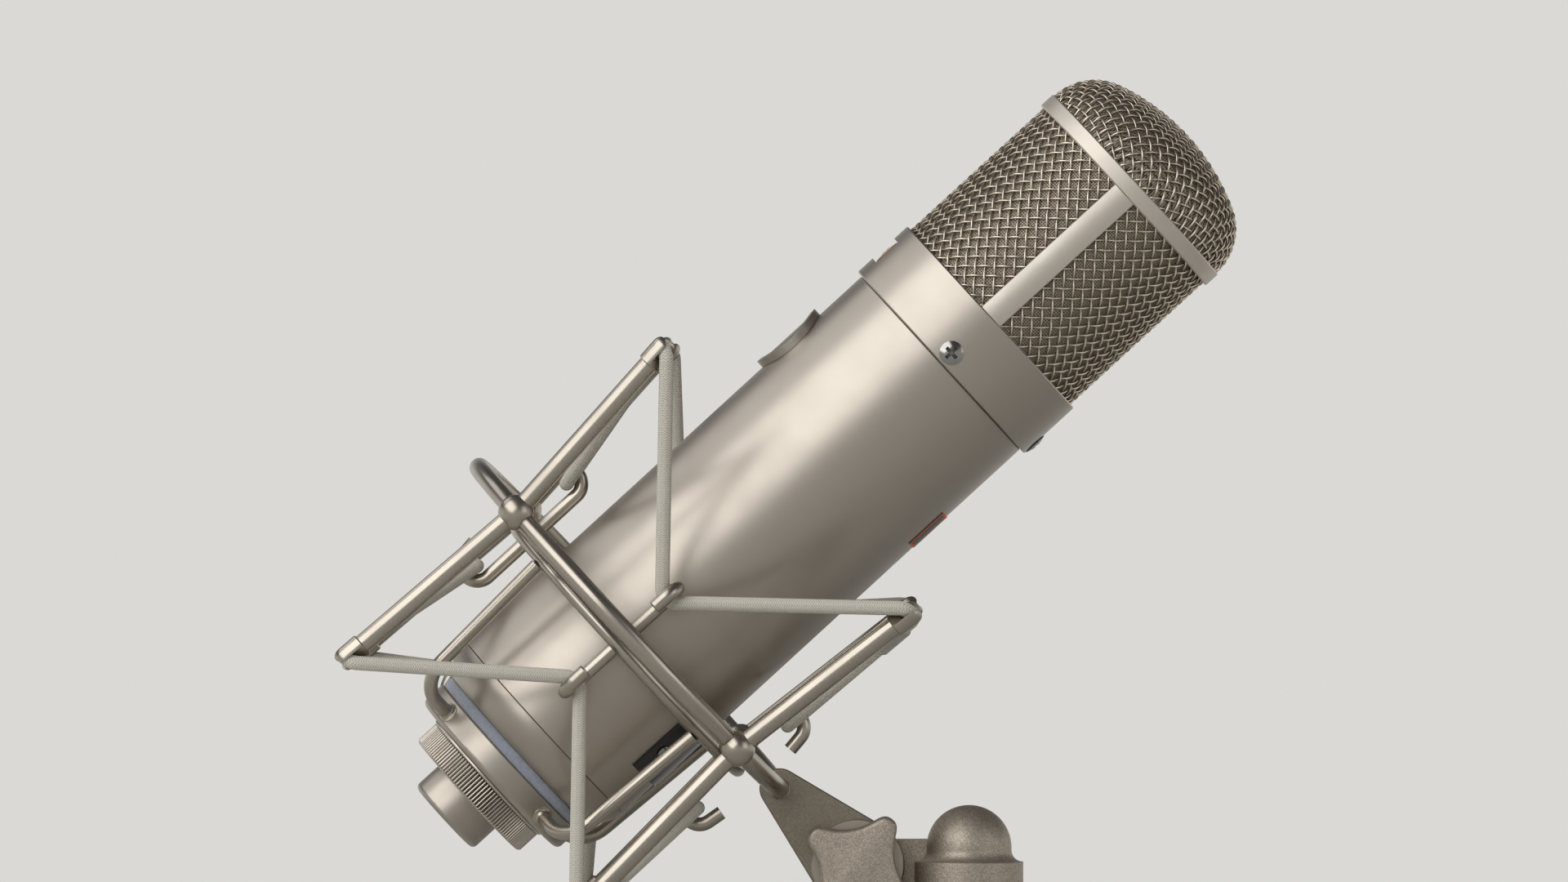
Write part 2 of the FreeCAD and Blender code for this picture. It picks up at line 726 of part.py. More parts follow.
def outer_frame():
    """Ring, joint balls, arms with their slotted caps, and the two elastic cords."""
    radii = {"Radius1": "outer_ring_dia / 2"}
    ring = shape("Torus", "ring_wire", SUSPENSION, Radius2="outer_wire_dia / 2", **radii)
    node("outer_ring", ring)
    wide = "outer_wire_dia / 2 + weld_gap"
    holes = [shape("Torus", "ring_tunnel", SUSPENSION, Radius2=wide, **radii)]
    balls = []
    for number, corner in enumerate(CORNERS, start=1):
        centre = arm_frame(corner, "upper")
        balls.append(shape("Sphere", f"ball_{number}", centre, Radius="ball_dia / 2"))
    sleeves = []
    for word in ("upper", "lower"):
        route, bends = cord_route(word)
        caps = []
        for number, corner in enumerate(CORNERS, start=1):
            place = arm_frame(corner, word)
            reach = f"({word}_arm_length - cap_length)"
            name = f"{word}_arm_{number}"
            foot = chain(place, at(z="arm_start"))
            node(name, rod_of(name, "arm_dia", f"{reach} - arm_start", foot))
            socket = chain(place, at(z="arm_start - weld_gap"))
            holes.append(rod_of(f"{name}_socket", "arm_dia + 2 * weld_gap", reach, socket))
            top = chain(place, at(z=reach))
            index = 2 * number - 2
            turn = route[index - 1], route[index], route[index + 1]
            tools = slot_tool(f"{name}_slot", top), channel_tool(f"{name}_channel", *turn)
            caps.append(cut(f"{name}_slotted", arm_cap(f"{name}_cap", top), *tools))
        node(f"{word}_arm_caps", group(f"{word}_caps", *caps))
        sleeves.append(elastic(word, route, bends))
    node("joint_balls", cut("balls", group("ball_blanks", *balls), *holes))
    node("elastic_sleeves", feature("sleeves", sleeves))


# Inner cradle


def cradle():
    """Inner ring, hook rods, cage wires, cup and felt."""
    wire = SIZES["cradle_wire_dia"]
    radii = {"Radius1": "cradle_ring_dia / 2", "Radius2": "cradle_wire_dia / 2"}
    node("cradle_ring", shape("Torus", "inner_ring", CRADLE, **radii))
    leg = size(HOOK_LEG)
    bend = size("hook_bend_dia / 2")
    top = size("hook_rise - cradle_wire_dia / 2")
    foot = size("cradle_wire_dia / 2 - hook_fall")
    fold = size("hook_fold - cradle_wire_dia / 2")
    flare = SIZES["hook_flare"]
    ring = size("cradle_ring_dia / 2")
    cup_side = size(f"{BELL_R} + weld_gap")
    level = size(f"{CUP_TOP} - cup_height / 2")
    knee = size("cage_foot_dia / 2")
    hooks = []
    cage = []
    for side in SIDES:
        turn = size(around(f"{side - 90}"))
        hook = [
            (leg + 2 * bend + flare, top - fold),
            (leg + 2 * bend, top),
            (leg, top),
            (leg, foot),
            (leg + 2 * bend, foot),
            (leg + 2 * bend + flare, foot + fold),
        ]
        spots = [turn.multVec(Vector(radius, 0, height)) for radius, height in hook]
        hooks.append(bent_rod(spots, [bend * 0.999] * 4, wire))
        turn = size(around(f"{side - 45}"))
        stay = [(ring, -wire / 2 - SIZES["weld_gap"]), (knee, level), (cup_side, level)]
        spots = [turn.multVec(Vector(radius, 0, height)) for radius, height in stay]
        cage.append(bent_rod(spots, [SIZES["cage_bend_round"]], wire))
    node("hook_rods", feature("hooks", hooks, CAGE))
    node("cage_wires", feature("cage", cage, CAGE))
    node("felt_ring", ring_of("felt", "seat_bore / 2", FELT_R, CUP_TOP, SEAT, CRADLE))
    outline = [
        ("seat_bore / 2", CUP_FOOT),
        (f"{BELL_R} - cup_round", CUP_FOOT),
        (BELL_R, f"{CUP_FOOT} + cup_round", "cup_round"),
        (BELL_R, f"{CUP_TOP} - edge_break"),
        (f"{BELL_R} - edge_break", CUP_TOP),
        ("seat_bore / 2", CUP_TOP),
    ]
    node("cradle_cup", turned("cup", outline, CRADLE))


# Base of the microphone


def base():
    """Bell with its threaded spigot, lock washer, lock nut and cable connector."""
    bore = "(connector_dia / 2 + running_fit)"
    lip = f"({TUBE_BORE} - running_fit)"
    floor = f"({SEAT} + bell_floor)"
    spigot_foot = f"({SEAT} - spigot_length)"
    outline = [
        (bore, spigot_foot),
        ("spigot_dia / 2 - edge_break", spigot_foot),
        ("spigot_dia / 2", f"{spigot_foot} + edge_break"),
        ("spigot_dia / 2", SEAT),
        (BELL_R, SEAT),
        ("body_dia / 2", TUBE_FOOT, "bell_round"),
        (lip, TUBE_FOOT),
        (lip, f"{TUBE_FOOT} + bell_lip_high"),
        (f"{lip} - bell_lip_wall", f"{TUBE_FOOT} + bell_lip_high"),
        (f"{lip} - bell_lip_wall", TUBE_FOOT),
        (f"{BELL_R} - bell_lip_wall", floor),
        (bore, floor),
    ]
    node("base_bell", turned("bell", outline, CRADLE))
    thread = "(spigot_dia / 2 + running_fit)"
    washer = ring_of("washer_under_cup", thread, "(lock_washer_dia / 2)", WASHER_FOOT, CUP_FOOT, CRADLE)
    node("lock_washer", washer)
    outline = [
        (thread, NUT_FOOT),
        ("nut_dia / 2 - nut_chamfer", NUT_FOOT),
        ("nut_dia / 2", f"{NUT_FOOT} + nut_chamfer"),
        ("nut_dia / 2", f"{WASHER_FOOT} - edge_break"),
        ("nut_dia / 2 - edge_break", WASHER_FOOT),
        (thread, WASHER_FOOT),
    ]
    node("lock_nut", turned("nut", outline, CRADLE))
    end = f"({SEAT} - connector_drop)"
    mouth = "(connector_dia / 2 - connector_wall)"
    flange = f"({bore} + bell_lip_wall)"
    outline = [
        (mouth, end),
        ("connector_dia / 2 - connector_lip_round", end),
        ("connector_dia / 2", f"{end} + connector_lip_round", "connector_lip_round"),
        ("connector_dia / 2", floor),
        (flange, floor),
        (flange, f"{floor} + connector_flange"),
        (mouth, f"{floor} + connector_flange"),
    ]
    node("connector_shell", turned("connector", outline, CRADLE))
    face = f"({end} + insert_drop)"
    seated = chain(CRADLE, at(z=face))
    block = rod_of("insert_block", f"2 * ({mouth} - running_fit)", "insert_thick", seated)
    holes = []
    pins = []
    for number, angle in enumerate((30, 150, 270), start=1):
        spot = at(x="pin_circle_dia / 2", z=f"{face} - pin_length")
        place = chain(CRADLE, around(f"{angle}"), spot)
        length = "pin_length + insert_thick + pin_tail"
        holes.append(rod_of(f"pin_hole_{number}", "pin_dia + 2 * running_fit", length, place))
        pins.append(rod_of(f"pin_{number}", "pin_dia", length, place))
    node("connector_insert", cut("insert", block, *holes))
    node("connector_pins", group("pins", *pins))


# Body of the microphone


def body():
    """Body tube, badge plate, rear inlay and serial plate."""
    tube = [TUBE_BORE, "(body_dia / 2)", TUBE_FOOT, COLLAR_FOOT, CRADLE]
    node("body_tube", ring_of("tube", *tube))
    skin = "(body_dia / 2 + weld_gap)"
    face = "(body_dia / 2 + badge_proud)"
    level = f"({COLLAR_FOOT} - badge_centre)"
    low, high = (f"({level} {sign} badge_dia)" for sign in "-+")
    place = outward("-90", level)
    disc = common(
        "badge_disc",
        ring_of("badge_shell", skin, face, low, high, CRADLE),
        rod_of("badge_round", "badge_dia", "body_dia", place),
    )
    recess = common(
        "badge_recess",
        ring_of("badge_outside", f"({face} - badge_recess)", "body_dia", low, high, CRADLE),
        rod_of("badge_field", "badge_dia - 2 * badge_rim", "body_dia", place),
    )
    node("badge_plate", cut("badge", disc, recess))
    level = f"({COLLAR_FOOT} - inlay_centre)"
    place = chain(outward("90", level), at(x="-inlay_wide / 2", y="-inlay_high / 2"))
    low, high = (f"({level} {sign} inlay_high)" for sign in "-+")
    shell = ring_of("inlay_shell", skin, "(body_dia / 2 + inlay_proud)", low, high, CRADLE, "0.01")
    sides = {"Length": "inlay_wide", "Width": "inlay_high", "Height": "body_dia"}
    node("rear_inlay", common("inlay", shell, shape("Box", "inlay_block", place, **sides)))
    high = f"({COLLAR_FOOT} - serial_top)"
    low = f"({high} - serial_high)"
    outer = "(body_dia / 2 + serial_proud)"
    sweep = ["90 - serial_half_angle", "2 * serial_half_angle"]
    node("serial_plate", band_sector("serial", skin, outer, low, high, *sweep, CRADLE))
    heads = []
    for number, sign in enumerate("-+", start=1):
        place = outward(f"90 {sign} serial_screw_angle", f"{low} + serial_high / 2")
        place = chain(place, at(z=f"{outer} + weld_gap"))
        heads.append(screw(f"serial_screw_{number}", "serial_screw", place, crossed=False))
    node("serial_plate_screws", group("serial_screws", *heads))


def screw(name, kind, place, crossed=True, shank=None):
    """Round-head screw with a slotted or crossed recess, and a shank if it has one."""
    high = f"{kind}_high"
    rim = f"({high} / 4)"
    bulge = f"((({kind}_dia / 2) ^ 2 + ({high} - {rim}) ^ 2) / (2 * ({high} - {rim})))"
    points = [
        ("0", "0"),
        (f"{kind}_dia / 2", "0"),
        (f"{kind}_dia / 2", rim),
        ("0", high, bulge),
    ]
    if shank:
        side = "collar_shank_dia / 2"
        points[:1] = [("0", f"-({shank})"), (side, f"-({shank})"), (side, "0")]
    head = turned(name + "_head", points, place)
    sides = {"Length": f"{kind}_dia * 0.6", "Width": f"{kind}_dia * 0.14", "Height": high}
    tools = []
    for turn in (0, 90) if crossed else (0,):
        corner = at(x=f"-{kind}_dia * 0.3", y=f"-{kind}_dia * 0.07", z=f"{high} * 0.3")
        tools.append(shape("Box", f"{name}_slot_{turn}", chain(place, around(f"{turn}"), corner), **sides))
    return cut(name, head, *tools)


def chassis():
    """Rails, plates, circuit board and the parts on it."""
    foot = f"({TUBE_FOOT} + chassis_foot)"
    top = f"({COLLAR_FOOT} - bell_lip_high)"
    plate = f"({TUBE_BORE} - seat_gap)"
    lows = {"bottom": foot, "top": f"({top} - chassis_plate_thick)"}
    for word, low in lows.items():
        disc = ring_of(f"{word}_disc", "rail_dia", plate, low, f"({low} + chassis_plate_thick)", CRADLE)
        node(f"chassis_{word}_plate", disc)
    deck = f"({foot} + chassis_plate_thick)"
    ceiling = lows["top"]
    rails = []
    for number, sign in enumerate(("-", ""), start=1):
        place = chain(CRADLE, at(y=f"{sign}{RAIL_R}", z=deck))
        rails.append(rod_of(f"rail_{number}", "rail_dia", f"{ceiling} - {deck}", place))
    node("chassis_rails", group("rails", *rails))
    wide = f"(2 * {RAIL_R} - rail_dia - 2 * seat_gap)"
    place = chain(CRADLE, at(x="board_offset", y=f"-{wide} / 2", z=deck))
    board = shape("Box", "board", place, Length="board_thick", Width=wide, Height=f"{ceiling} - {deck}")
    node("circuit_board", board)
    place = chain(CRADLE, at(x="board_offset - transformer_deep", y="-transformer_wide / 2", z=deck))
    sides = {"Length": "transformer_deep", "Width": "transformer_wide", "Height": "transformer_high"}
    node("output_transformer", shape("Box", "transformer", place, **sides))
    sideways = at(axis="0; 1; 0", turn="90")
    parts = []
    for number in range(1, 4):
        spot = at(x="board_offset + board_thick", z=f"{deck} + capacitor_pitch * {number}")
        place = chain(CRADLE, spot, sideways)
        parts.append(rod_of(f"capacitor_{number}", "capacitor_dia", "capacitor_high", place))
    node("capacitors", group("capacitor_row", *parts))
    parts = []
    for number in range(1, 3):
        height = f"{deck} + transformer_high + capacitor_pitch * {number}"
        place = chain(CRADLE, at(x="board_offset - can_high", z=height), sideways)
        parts.append(rod_of(f"can_{number}", "can_dia", "can_high", place))
    node("transistor_cans", group("can_row", *parts))


# Head of the microphone


def head_collar():
    """Collar between the tube and the grille, its screws, the deck and the pattern selector."""
    lip = f"({TUBE_BORE} - running_fit)"
    outline = [
        (f"{lip} - bell_lip_wall", f"{COLLAR_FOOT} - bell_lip_high"),
        (lip, f"{COLLAR_FOOT} - bell_lip_high"),
        (lip, COLLAR_FOOT),
        (f"{COLLAR_R} - edge_break", COLLAR_FOOT),
        (COLLAR_R, f"{COLLAR_FOOT} + edge_break"),
        (COLLAR_R, f"{GRILLE_FOOT} - edge_break"),
        (f"{COLLAR_R} - edge_break", GRILLE_FOOT),
        (COLLAR_BORE, GRILLE_FOOT),
        (COLLAR_BORE, f"{DECK_TOP} - deck_thick"),
        (f"{lip} - bell_lip_wall", f"{DECK_TOP} - deck_thick"),
    ]
    blank = turned("collar_blank", outline, CRADLE)
    level = f"({COLLAR_FOOT} + collar_screw_height)"
    depth = f"({COLLAR_R} - {lip} + bell_lip_wall)"
    screws = []
    holes = []
    for azimuth in (0, 90, 180):
        place = chain(outward(f"{azimuth}", level), at(z=COLLAR_R))
        screws.append(screw(f"collar_screw_{azimuth}", "collar_screw", place, shank=depth))
        hole = chain(place, at(z=f"-2 * {depth}"))
        wide = "collar_shank_dia + 2 * running_fit"
        holes.append(rod_of(f"screw_hole_{azimuth}", wide, f"3 * {depth}", hole))
    node("collar_screws", group("screws", *screws))
    place = outward("-90", f"{COLLAR_FOOT} + selector_height")
    face = f"({COLLAR_R} - selector_depth)"
    window = rod_of("selector_window", "selector_hole_dia", "body_dia", place)
    corner = at(x="-body_dia / 2", y="-selector_hole_dia / 2", z=f"{face} - selector_stand")
    sides = {"Length": "body_dia", "Width": "selector_hole_dia", "Height": "body_dia"}
    flat = shape("Box", "selector_flat", chain(place, corner), **sides)
    node("head_collar", cut("collar_with_holes", blank, window, flat, *holes))
    back = f"({face} - selector_thick)"
    tail = f"({back} - selector_spindle_long)"
    outline = [
        ("0", tail),
        ("selector_spindle_dia / 2", tail),
        ("selector_spindle_dia / 2", back),
        ("selector_dia / 2", back),
        ("selector_dia / 2", f"{face} - edge_break"),
        ("selector_dot_dia / 2", face, "selector_dia * 2"),
        ("selector_dot_dia / 2", f"{face} + selector_dot_proud"),
        ("0", f"{face} + selector_dot_proud"),
    ]
    node("selector_disc", turned("selector", outline, place))
    front = f"({lip} - bell_lip_wall - seat_gap)"
    corner = chain(place, at(x="-switch_side / 2", y="-switch_side / 2", z=f"{front} - switch_deep"))
    sides = {"Length": "switch_side", "Width": "switch_side", "Height": "switch_deep"}
    block = shape("Box", "switch_block", corner, **sides)
    hole = chain(place, at(z=tail))
    hole = rod_of("switch_hole", "selector_spindle_dia + 2 * running_fit", "body_dia", hole)
    node("selector_switch", cut("switch", block, hole))
    rim = f"({COLLAR_BORE} - running_fit)"
    deck = ring_of("deck", "rail_dia", rim, f"({DECK_TOP} - deck_thick)", DECK_TOP, CRADLE)
    node("head_deck", deck)


def dome_outline(inset):
    """Outer side of the dome, moved inward, from its foot up to the axis."""
    middle = f"({DOME_R} - dome_shoulder)"
    span = "(dome_crown - dome_shoulder)"
    drop = f"sqrt({span} ^ 2 - {middle} ^ 2)"
    crown = f"(dome_crown - {inset})"
    shoulder = f"dome_shoulder - {inset}"
    return [
        (f"{DOME_R} - {inset}", DOME_FOOT),
        (f"{middle} * {crown} / {span}", f"{DOME_FOOT} + {drop} * ({crown} / {span} - 1)", shoulder),
        ("0", f"{DOME_FOOT} - {drop} + {crown}", crown),
    ]


def dome_shell(outer, inner):
    """The dome's wall: up its outer side to the axis and back down its inner side."""
    foot, knee, pole = dome_outline(inner)
    back = [pole[:2], (*knee[:2], f"-({pole[2]})"), (*foot[:2], f"-({knee[2]})")]
    return dome_outline(outer) + back


def side_pockets():
    """The diamonds between the main wires of the side grille, as deep as the wires stand out."""
    turns = round(float(size(f"pi * {GRILLE_R} * sqrt(2) / lattice_spacing")))
    step = f"(pi * {GRILLE_R} / {turns})"
    rows = int(float(size(f"(grille_height - 2 * lattice_hem) / {step}")))
    middle = f"({GRILLE_FOOT} + grille_height / 2)"
    floor = f"({GRILLE_R} - lattice_relief)"
    wide = f"({step} * sqrt(2) - lattice_wire)"
    sides = {"Length": wide, "Width": wide, "Height": "grille_thick * 3"}
    corner = at(x=f"-{wide} / 2", y=f"-{wide} / 2", z=f"{floor} * cos(180 / {turns})")
    blocks = []
    for row in range(rows + 1):
        height = f"{middle} + {row - rows / 2} * {step}"
        for half_turn in range(row % 2, 2 * turns, 2):
            place = chain(outward(f"180 / {turns} * {half_turn}", height), around("45"), corner)
            blocks.append(shape("Box", f"side_block_{row}_{half_turn}", place, **sides))
    reach = f"({rows} / 2 * {step})"
    levels = (f"{middle} - {reach}", f"{middle} + {reach}")
    skin = ring_of("side_skin", floor, f"({GRILLE_R} + grille_thick)", *levels, CRADLE, "0.05")
    return common("side_pockets", group("side_blocks", *blocks), skin)


def dome_pockets():
    """The squares between the main wires of the dome, seen along its axis."""
    wide = "(lattice_spacing - lattice_wire)"
    sides = {"Length": wide, "Width": wide, "Height": "body_dia"}
    reach = float(size(f"{DOME_R} / lattice_spacing"))
    count = int(reach)
    blocks = []
    for across in range(-count, count + 1):
        for along in range(-count, count + 1):
            if math.hypot(across, along) > reach:
                continue
            x, y = (f"{number} * lattice_spacing - {wide} / 2" for number in (across, along))
            place = chain(CRADLE, around("45"), at(x=x, y=y, z=f"{DOME_FOOT} + lattice_hem"))
            blocks.append(shape("Box", f"dome_block_{len(blocks)}", place, **sides))
    skin = turned("dome_skin", dome_shell("(-grille_thick)", "lattice_relief"), CRADLE)
    return common("dome_pockets", group("dome_blocks", *blocks), skin)


def grille():
    """Side grille, struts, head band, dome and the fine mesh that lines them."""
    inner = f"({GRILLE_R} - grille_thick)"
    side = ring_of("side", inner, GRILLE_R, GRILLE_FOOT, BAND_FOOT, CRADLE, "0.05")
    node("grille_side", cut("side_lattice", side, side_pockets()))
    band = ring_of("band", f"({DOME_R} - grille_thick)", BAND_R, BAND_FOOT, DOME_FOOT, CRADLE)
    node("head_band", band)
    for word, azimuth in (("near", 0), ("far", 180)):
        skin = f"({GRILLE_R} + weld_gap)"
        strut = strut_sector(f"strut_{word}", skin, f"({skin} + strut_thick)", azimuth)
        node(f"head_strut_{word}", strut)
    dome = turned("dome", dome_shell("0", "grille_thick"), CRADLE)
    node("grille_dome", cut("dome_lattice", dome, dome_pockets()))
    gap = "(grille_thick + liner_gap)"
    tube = f"({inner} - liner_gap)"
    lower = [(f"{tube} - liner_thick", GRILLE_FOOT), (tube, GRILLE_FOOT), (tube, BAND_FOOT)]
    upper = dome_shell(gap, f"({gap} + liner_thick)")
    closing = (f"{tube} - liner_thick", BAND_FOOT)
    node("fine_mesh_liner", turned("liner", [*lower, *upper, closing], CRADLE))


def strut_sector(name, skin, face, azimuth):
    """Flat-sided strip bent to the grille's curve."""
    shell = ring_of(name + "_shell", skin, face, GRILLE_FOOT, BAND_FOOT, CRADLE, "0.05")
    place = chain(outward(f"{azimuth}", GRILLE_FOOT), at(x="-strut_wide / 2"))
    sides = {"Length": "strut_wide", "Width": "grille_height", "Height": "body_dia"}
    return common(name, shell, shape("Box", name + "_block", place, **sides))


def capsule():
    """Capsule: backplate, two diaphragms, two clamp rings and the saddle that holds it."""
    half = "(backplate_thick / 2)"
    place = chain(CRADLE, at(z=CAPSULE, axis="0; 1; 0", turn="90"))
    node("capsule_backplate", ring_of("backplate", "1", "(capsule_dia / 2)", f"-{half}", half, place))
    films = []
    rings = []
    film_face = f"({half} + diaphragm_thick)"
    for number, flip in enumerate(("0", "180"), start=1):
        side = chain(place, at(axis="0; 1; 0", turn=flip))
        films.append(rod_of(f"film_{number}", "diaphragm_dia", "diaphragm_thick", chain(side, at(z=half))))
        top = f"({film_face} + clamp_ring_thick)"
        sizes = ["clamp_ring_bore / 2", "(capsule_dia / 2)", film_face, top, side]
        rings.append(ring_of(f"ring_{number}", *sizes))
    node("capsule_diaphragms", group("films", *films))
    node("capsule_rings", group("rings", *rings))
    foot = DECK_TOP
    top = f"({CAPSULE} - capsule_dia / 2 + saddle_reach)"
    corner = chain(CRADLE, at(x="-saddle_thick / 2", y="-saddle_wide / 2", z=foot))
    sides = {"Length": "saddle_thick", "Width": "saddle_wide", "Height": f"{top} - {foot}"}
    block = shape("Box", "saddle_block", corner, **sides)
    across_it = chain(place, at(z="-saddle_thick"))
    seat = rod_of("saddle_seat", "capsule_dia + 2 * weld_gap", "2 * saddle_thick", across_it)
    node("capsule_saddle", cut("saddle", block, seat))


BUILDERS = (
    stand_adapter,
    bolt_and_washers,
    bracket_plate,
    clamp_knob,
    outer_frame,
    cradle,
    base,
    body,
    chassis,
    head_collar,
    grille,
    capsule,
)
for build in BUILDERS:
    build()
doc.recompute()
os.makedirs("parts", exist_ok=True)
for thing in doc.Objects:
    assert "Invalid" not in thing.State and "Error" not in thing.State, thing.Label
for thing in NODES:
    assert thing.Shape.isValid() and thing.Shape.Solids, thing.Label
    thing.Shape.exportStep(f"parts/{thing.Label}.step")
print(len(NODES), "nodes")
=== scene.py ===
"""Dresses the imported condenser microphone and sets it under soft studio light.

The woven head with its struts, the knurled nut, the felt, the braze, the elastic cords and the cast
knob are built here, and every CAD part that stays gets its finish. The classes keep their sizes in
millimetres; Blender works in metres.
"""

import json
import logging
import math
from collections.abc import Callable, Iterable, Sequence
from dataclasses import dataclass
from enum import Enum

import bmesh
import bpy
from bmesh.types import BMEdge, BMesh, BMVert
from bpy.types import ID, Curve, Material, Mesh, NodeOutputs, NodeSocket, Object, World
from mathutils import Matrix, Quaternion, Vector

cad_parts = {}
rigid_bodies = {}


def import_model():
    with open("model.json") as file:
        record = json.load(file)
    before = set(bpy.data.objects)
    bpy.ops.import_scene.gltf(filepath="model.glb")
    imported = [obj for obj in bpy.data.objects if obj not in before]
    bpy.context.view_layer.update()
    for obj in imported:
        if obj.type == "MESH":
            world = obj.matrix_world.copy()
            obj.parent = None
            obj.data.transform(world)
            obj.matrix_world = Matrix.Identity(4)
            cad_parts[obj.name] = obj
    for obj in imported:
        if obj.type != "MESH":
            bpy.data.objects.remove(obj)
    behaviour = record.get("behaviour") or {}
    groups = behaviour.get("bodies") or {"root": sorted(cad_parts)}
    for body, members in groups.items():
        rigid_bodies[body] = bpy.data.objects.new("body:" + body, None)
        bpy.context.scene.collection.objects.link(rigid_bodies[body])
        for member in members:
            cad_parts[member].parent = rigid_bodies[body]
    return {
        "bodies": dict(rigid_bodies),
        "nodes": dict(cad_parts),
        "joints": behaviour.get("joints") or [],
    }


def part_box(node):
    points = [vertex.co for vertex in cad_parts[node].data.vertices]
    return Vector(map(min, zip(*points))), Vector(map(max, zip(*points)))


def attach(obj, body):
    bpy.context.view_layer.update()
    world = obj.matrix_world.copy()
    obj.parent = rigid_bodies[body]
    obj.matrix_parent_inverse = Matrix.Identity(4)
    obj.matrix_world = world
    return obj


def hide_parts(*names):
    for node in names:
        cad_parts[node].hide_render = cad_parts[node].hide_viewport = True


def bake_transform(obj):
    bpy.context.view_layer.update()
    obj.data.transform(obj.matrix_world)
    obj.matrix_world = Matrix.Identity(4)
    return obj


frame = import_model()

MM = 0.001
LOG = logging.getLogger("microphone")
X, Y, Z = (Vector(row) for row in Matrix.Identity(3))
# Attribute of the woven wires: how far each place stands out, from 0 to 1.
CREST = "crest"
# Map of the cords: millimetres along them and stitch columns round them.
CORD_MAP = "cord_map"
# Bends of an elastic loop: four tips and four hooks in turn.
BENDS = 8
# Edges that turn more than this are shaded sharp.
SHARP = math.radians(40.0)
# Heights nearer to each other than this, in millimetres, are one height.
LEVEL = 1e-4
# Colour of the painted shade in corners, grooves and recesses.
PAINTED_SHADE = "#1E1B17"


# Frames


@dataclass(frozen=True)
class Place:
    """A frame on the object: its origin in metres and its three axes.

    Attributes:
        origin: Where the frame's zero is.
        x: Direction of its first axis.
        y: Direction of its second axis.
        z: Direction of its third axis.
    """

    origin: Vector
    x: Vector
    y: Vector
    z: Vector

    @classmethod
    def along(cls, origin: Sequence[float], axis: Sequence[float]) -> "Place":
        """The frame whose z follows an axis in the XZ plane and whose y is the world's."""
        z = Vector(axis).normalized()
        return cls(Vector(origin), Y.cross(z), Y, z)

    @property
    def turn(self) -> Matrix:
        """The rotation from the frame's axes to the world's."""
        return Matrix((self.x, self.y, self.z)).transposed()

    @property
    def matrix(self) -> Matrix:
        """The way from the frame's millimetres to the world's metres."""
        return Matrix.Translation(self.origin) @ self.turn.to_4x4() @ Matrix.Scale(MM, 4)

    def reach(self, node: str) -> tuple[Vector, Vector]:
        """Lowest and highest corner of a CAD node in this frame.

        Args:
            node: Name of the CAD node.

        Returns:
            The two corners, in millimetres.
        """
        back = self.matrix.inverted()
        spots = [back @ vertex.co for vertex in frame["nodes"][node].data.vertices]
        return Vector(map(min, zip(*spots))), Vector(map(max, zip(*spots)))


def joint_place(name: str) -> Place:
    """The frame at a joint, with z along its axis."""
    entry = next(entry for entry in frame["joints"] if entry["name"] == name)
    return Place.along(entry["pos_m"], entry["axis"])


def polar(radius: float, angle: float, height: float) -> Vector:
    """The point at a radius, an angle and a height round z."""
    return Vector((radius * math.cos(angle), radius * math.sin(angle), height))


# Materials


def linear(code: str) -> tuple[float, float, float, float]:
    """Turns an sRGB hex value to the linear colour that a shader takes.

    Args:
        code: Six hex digits after a number sign.

    Returns:
        Linear red, green and blue, and an alpha of 1.
    """
    parts = [int(code[i : i + 2], 16) / 255 for i in (1, 3, 5)]
    rgb = [c / 12.92 if c <= 0.04045 else ((c + 0.055) / 1.055) ** 2.4 for c in parts]
    return (*rgb, 1.0)


class Graph:
    """The shader nodes of one material or world, as they are put together."""

    def __init__(self, owner: Material | World) -> None:
        """Starts an empty tree.

        Args:
            owner: The material or the world that the tree is for.
        """
        owner.use_nodes = True
        self.owner = owner
        self.tree = owner.node_tree
        self.tree.nodes.clear()

    @classmethod
    def of_material(cls, name: str) -> "Graph":
        """Starts the tree of a new material."""
        return cls(bpy.data.materials.new(name))

    def add(self, kind: str, inputs: dict | None = None, **settings: object) -> NodeOutputs:
        """Adds a node with its settings and links.

        Args:
            kind: The node's type, without ShaderNode in front.
            inputs: Links and values by input name or number; a text is a colour in hex.
            **settings: Properties of the node.

        Returns:
            The node's outputs.
        """
        node = self.tree.nodes.new("ShaderNode" + kind)
        for name, value in settings.items():
            setattr(node, name, value)
        for key, value in (inputs or {}).items():
            if isinstance(value, NodeSocket):
                self.tree.links.new(value, node.inputs[key])
            else:
                plain = linear(value) if isinstance(value, str) else value
                node.inputs[key].default_value = plain
        return node.outputs

    def millimetres(self, place: Place | None = None) -> NodeSocket:
        """Adds the object's coordinates in millimetres.

        Args:
            place: A frame to give them in, if not the object's own.

        Returns:
            The coordinates' output.
        """
        spot = self.add("TexCoord")["Object"]
        if place is None:
            return self.add("Mapping", {"Vector": spot, "Scale": (1 / MM,) * 3})[0]
        inputs = {
            "Vector": spot,
            "Location": place.origin,
            "Rotation": place.turn.to_euler(),
            "Scale": (MM,) * 3,
        }
        return self.add("Mapping", inputs, vector_type="TEXTURE")[0]

    def shader(self, **inputs: object) -> Material:
        """Ends the tree in a Principled shader.

        Args:
            **inputs: The shader's inputs, with an underscore for each space.

        Returns:
            The finished material.
        """
        named = {name.replace("_", " "): value for name, value in inputs.items()}
        surface = self.add("BsdfPrincipled", named)[0]
        self.add("OutputMaterial", {"Surface": surface})
        return self.owner


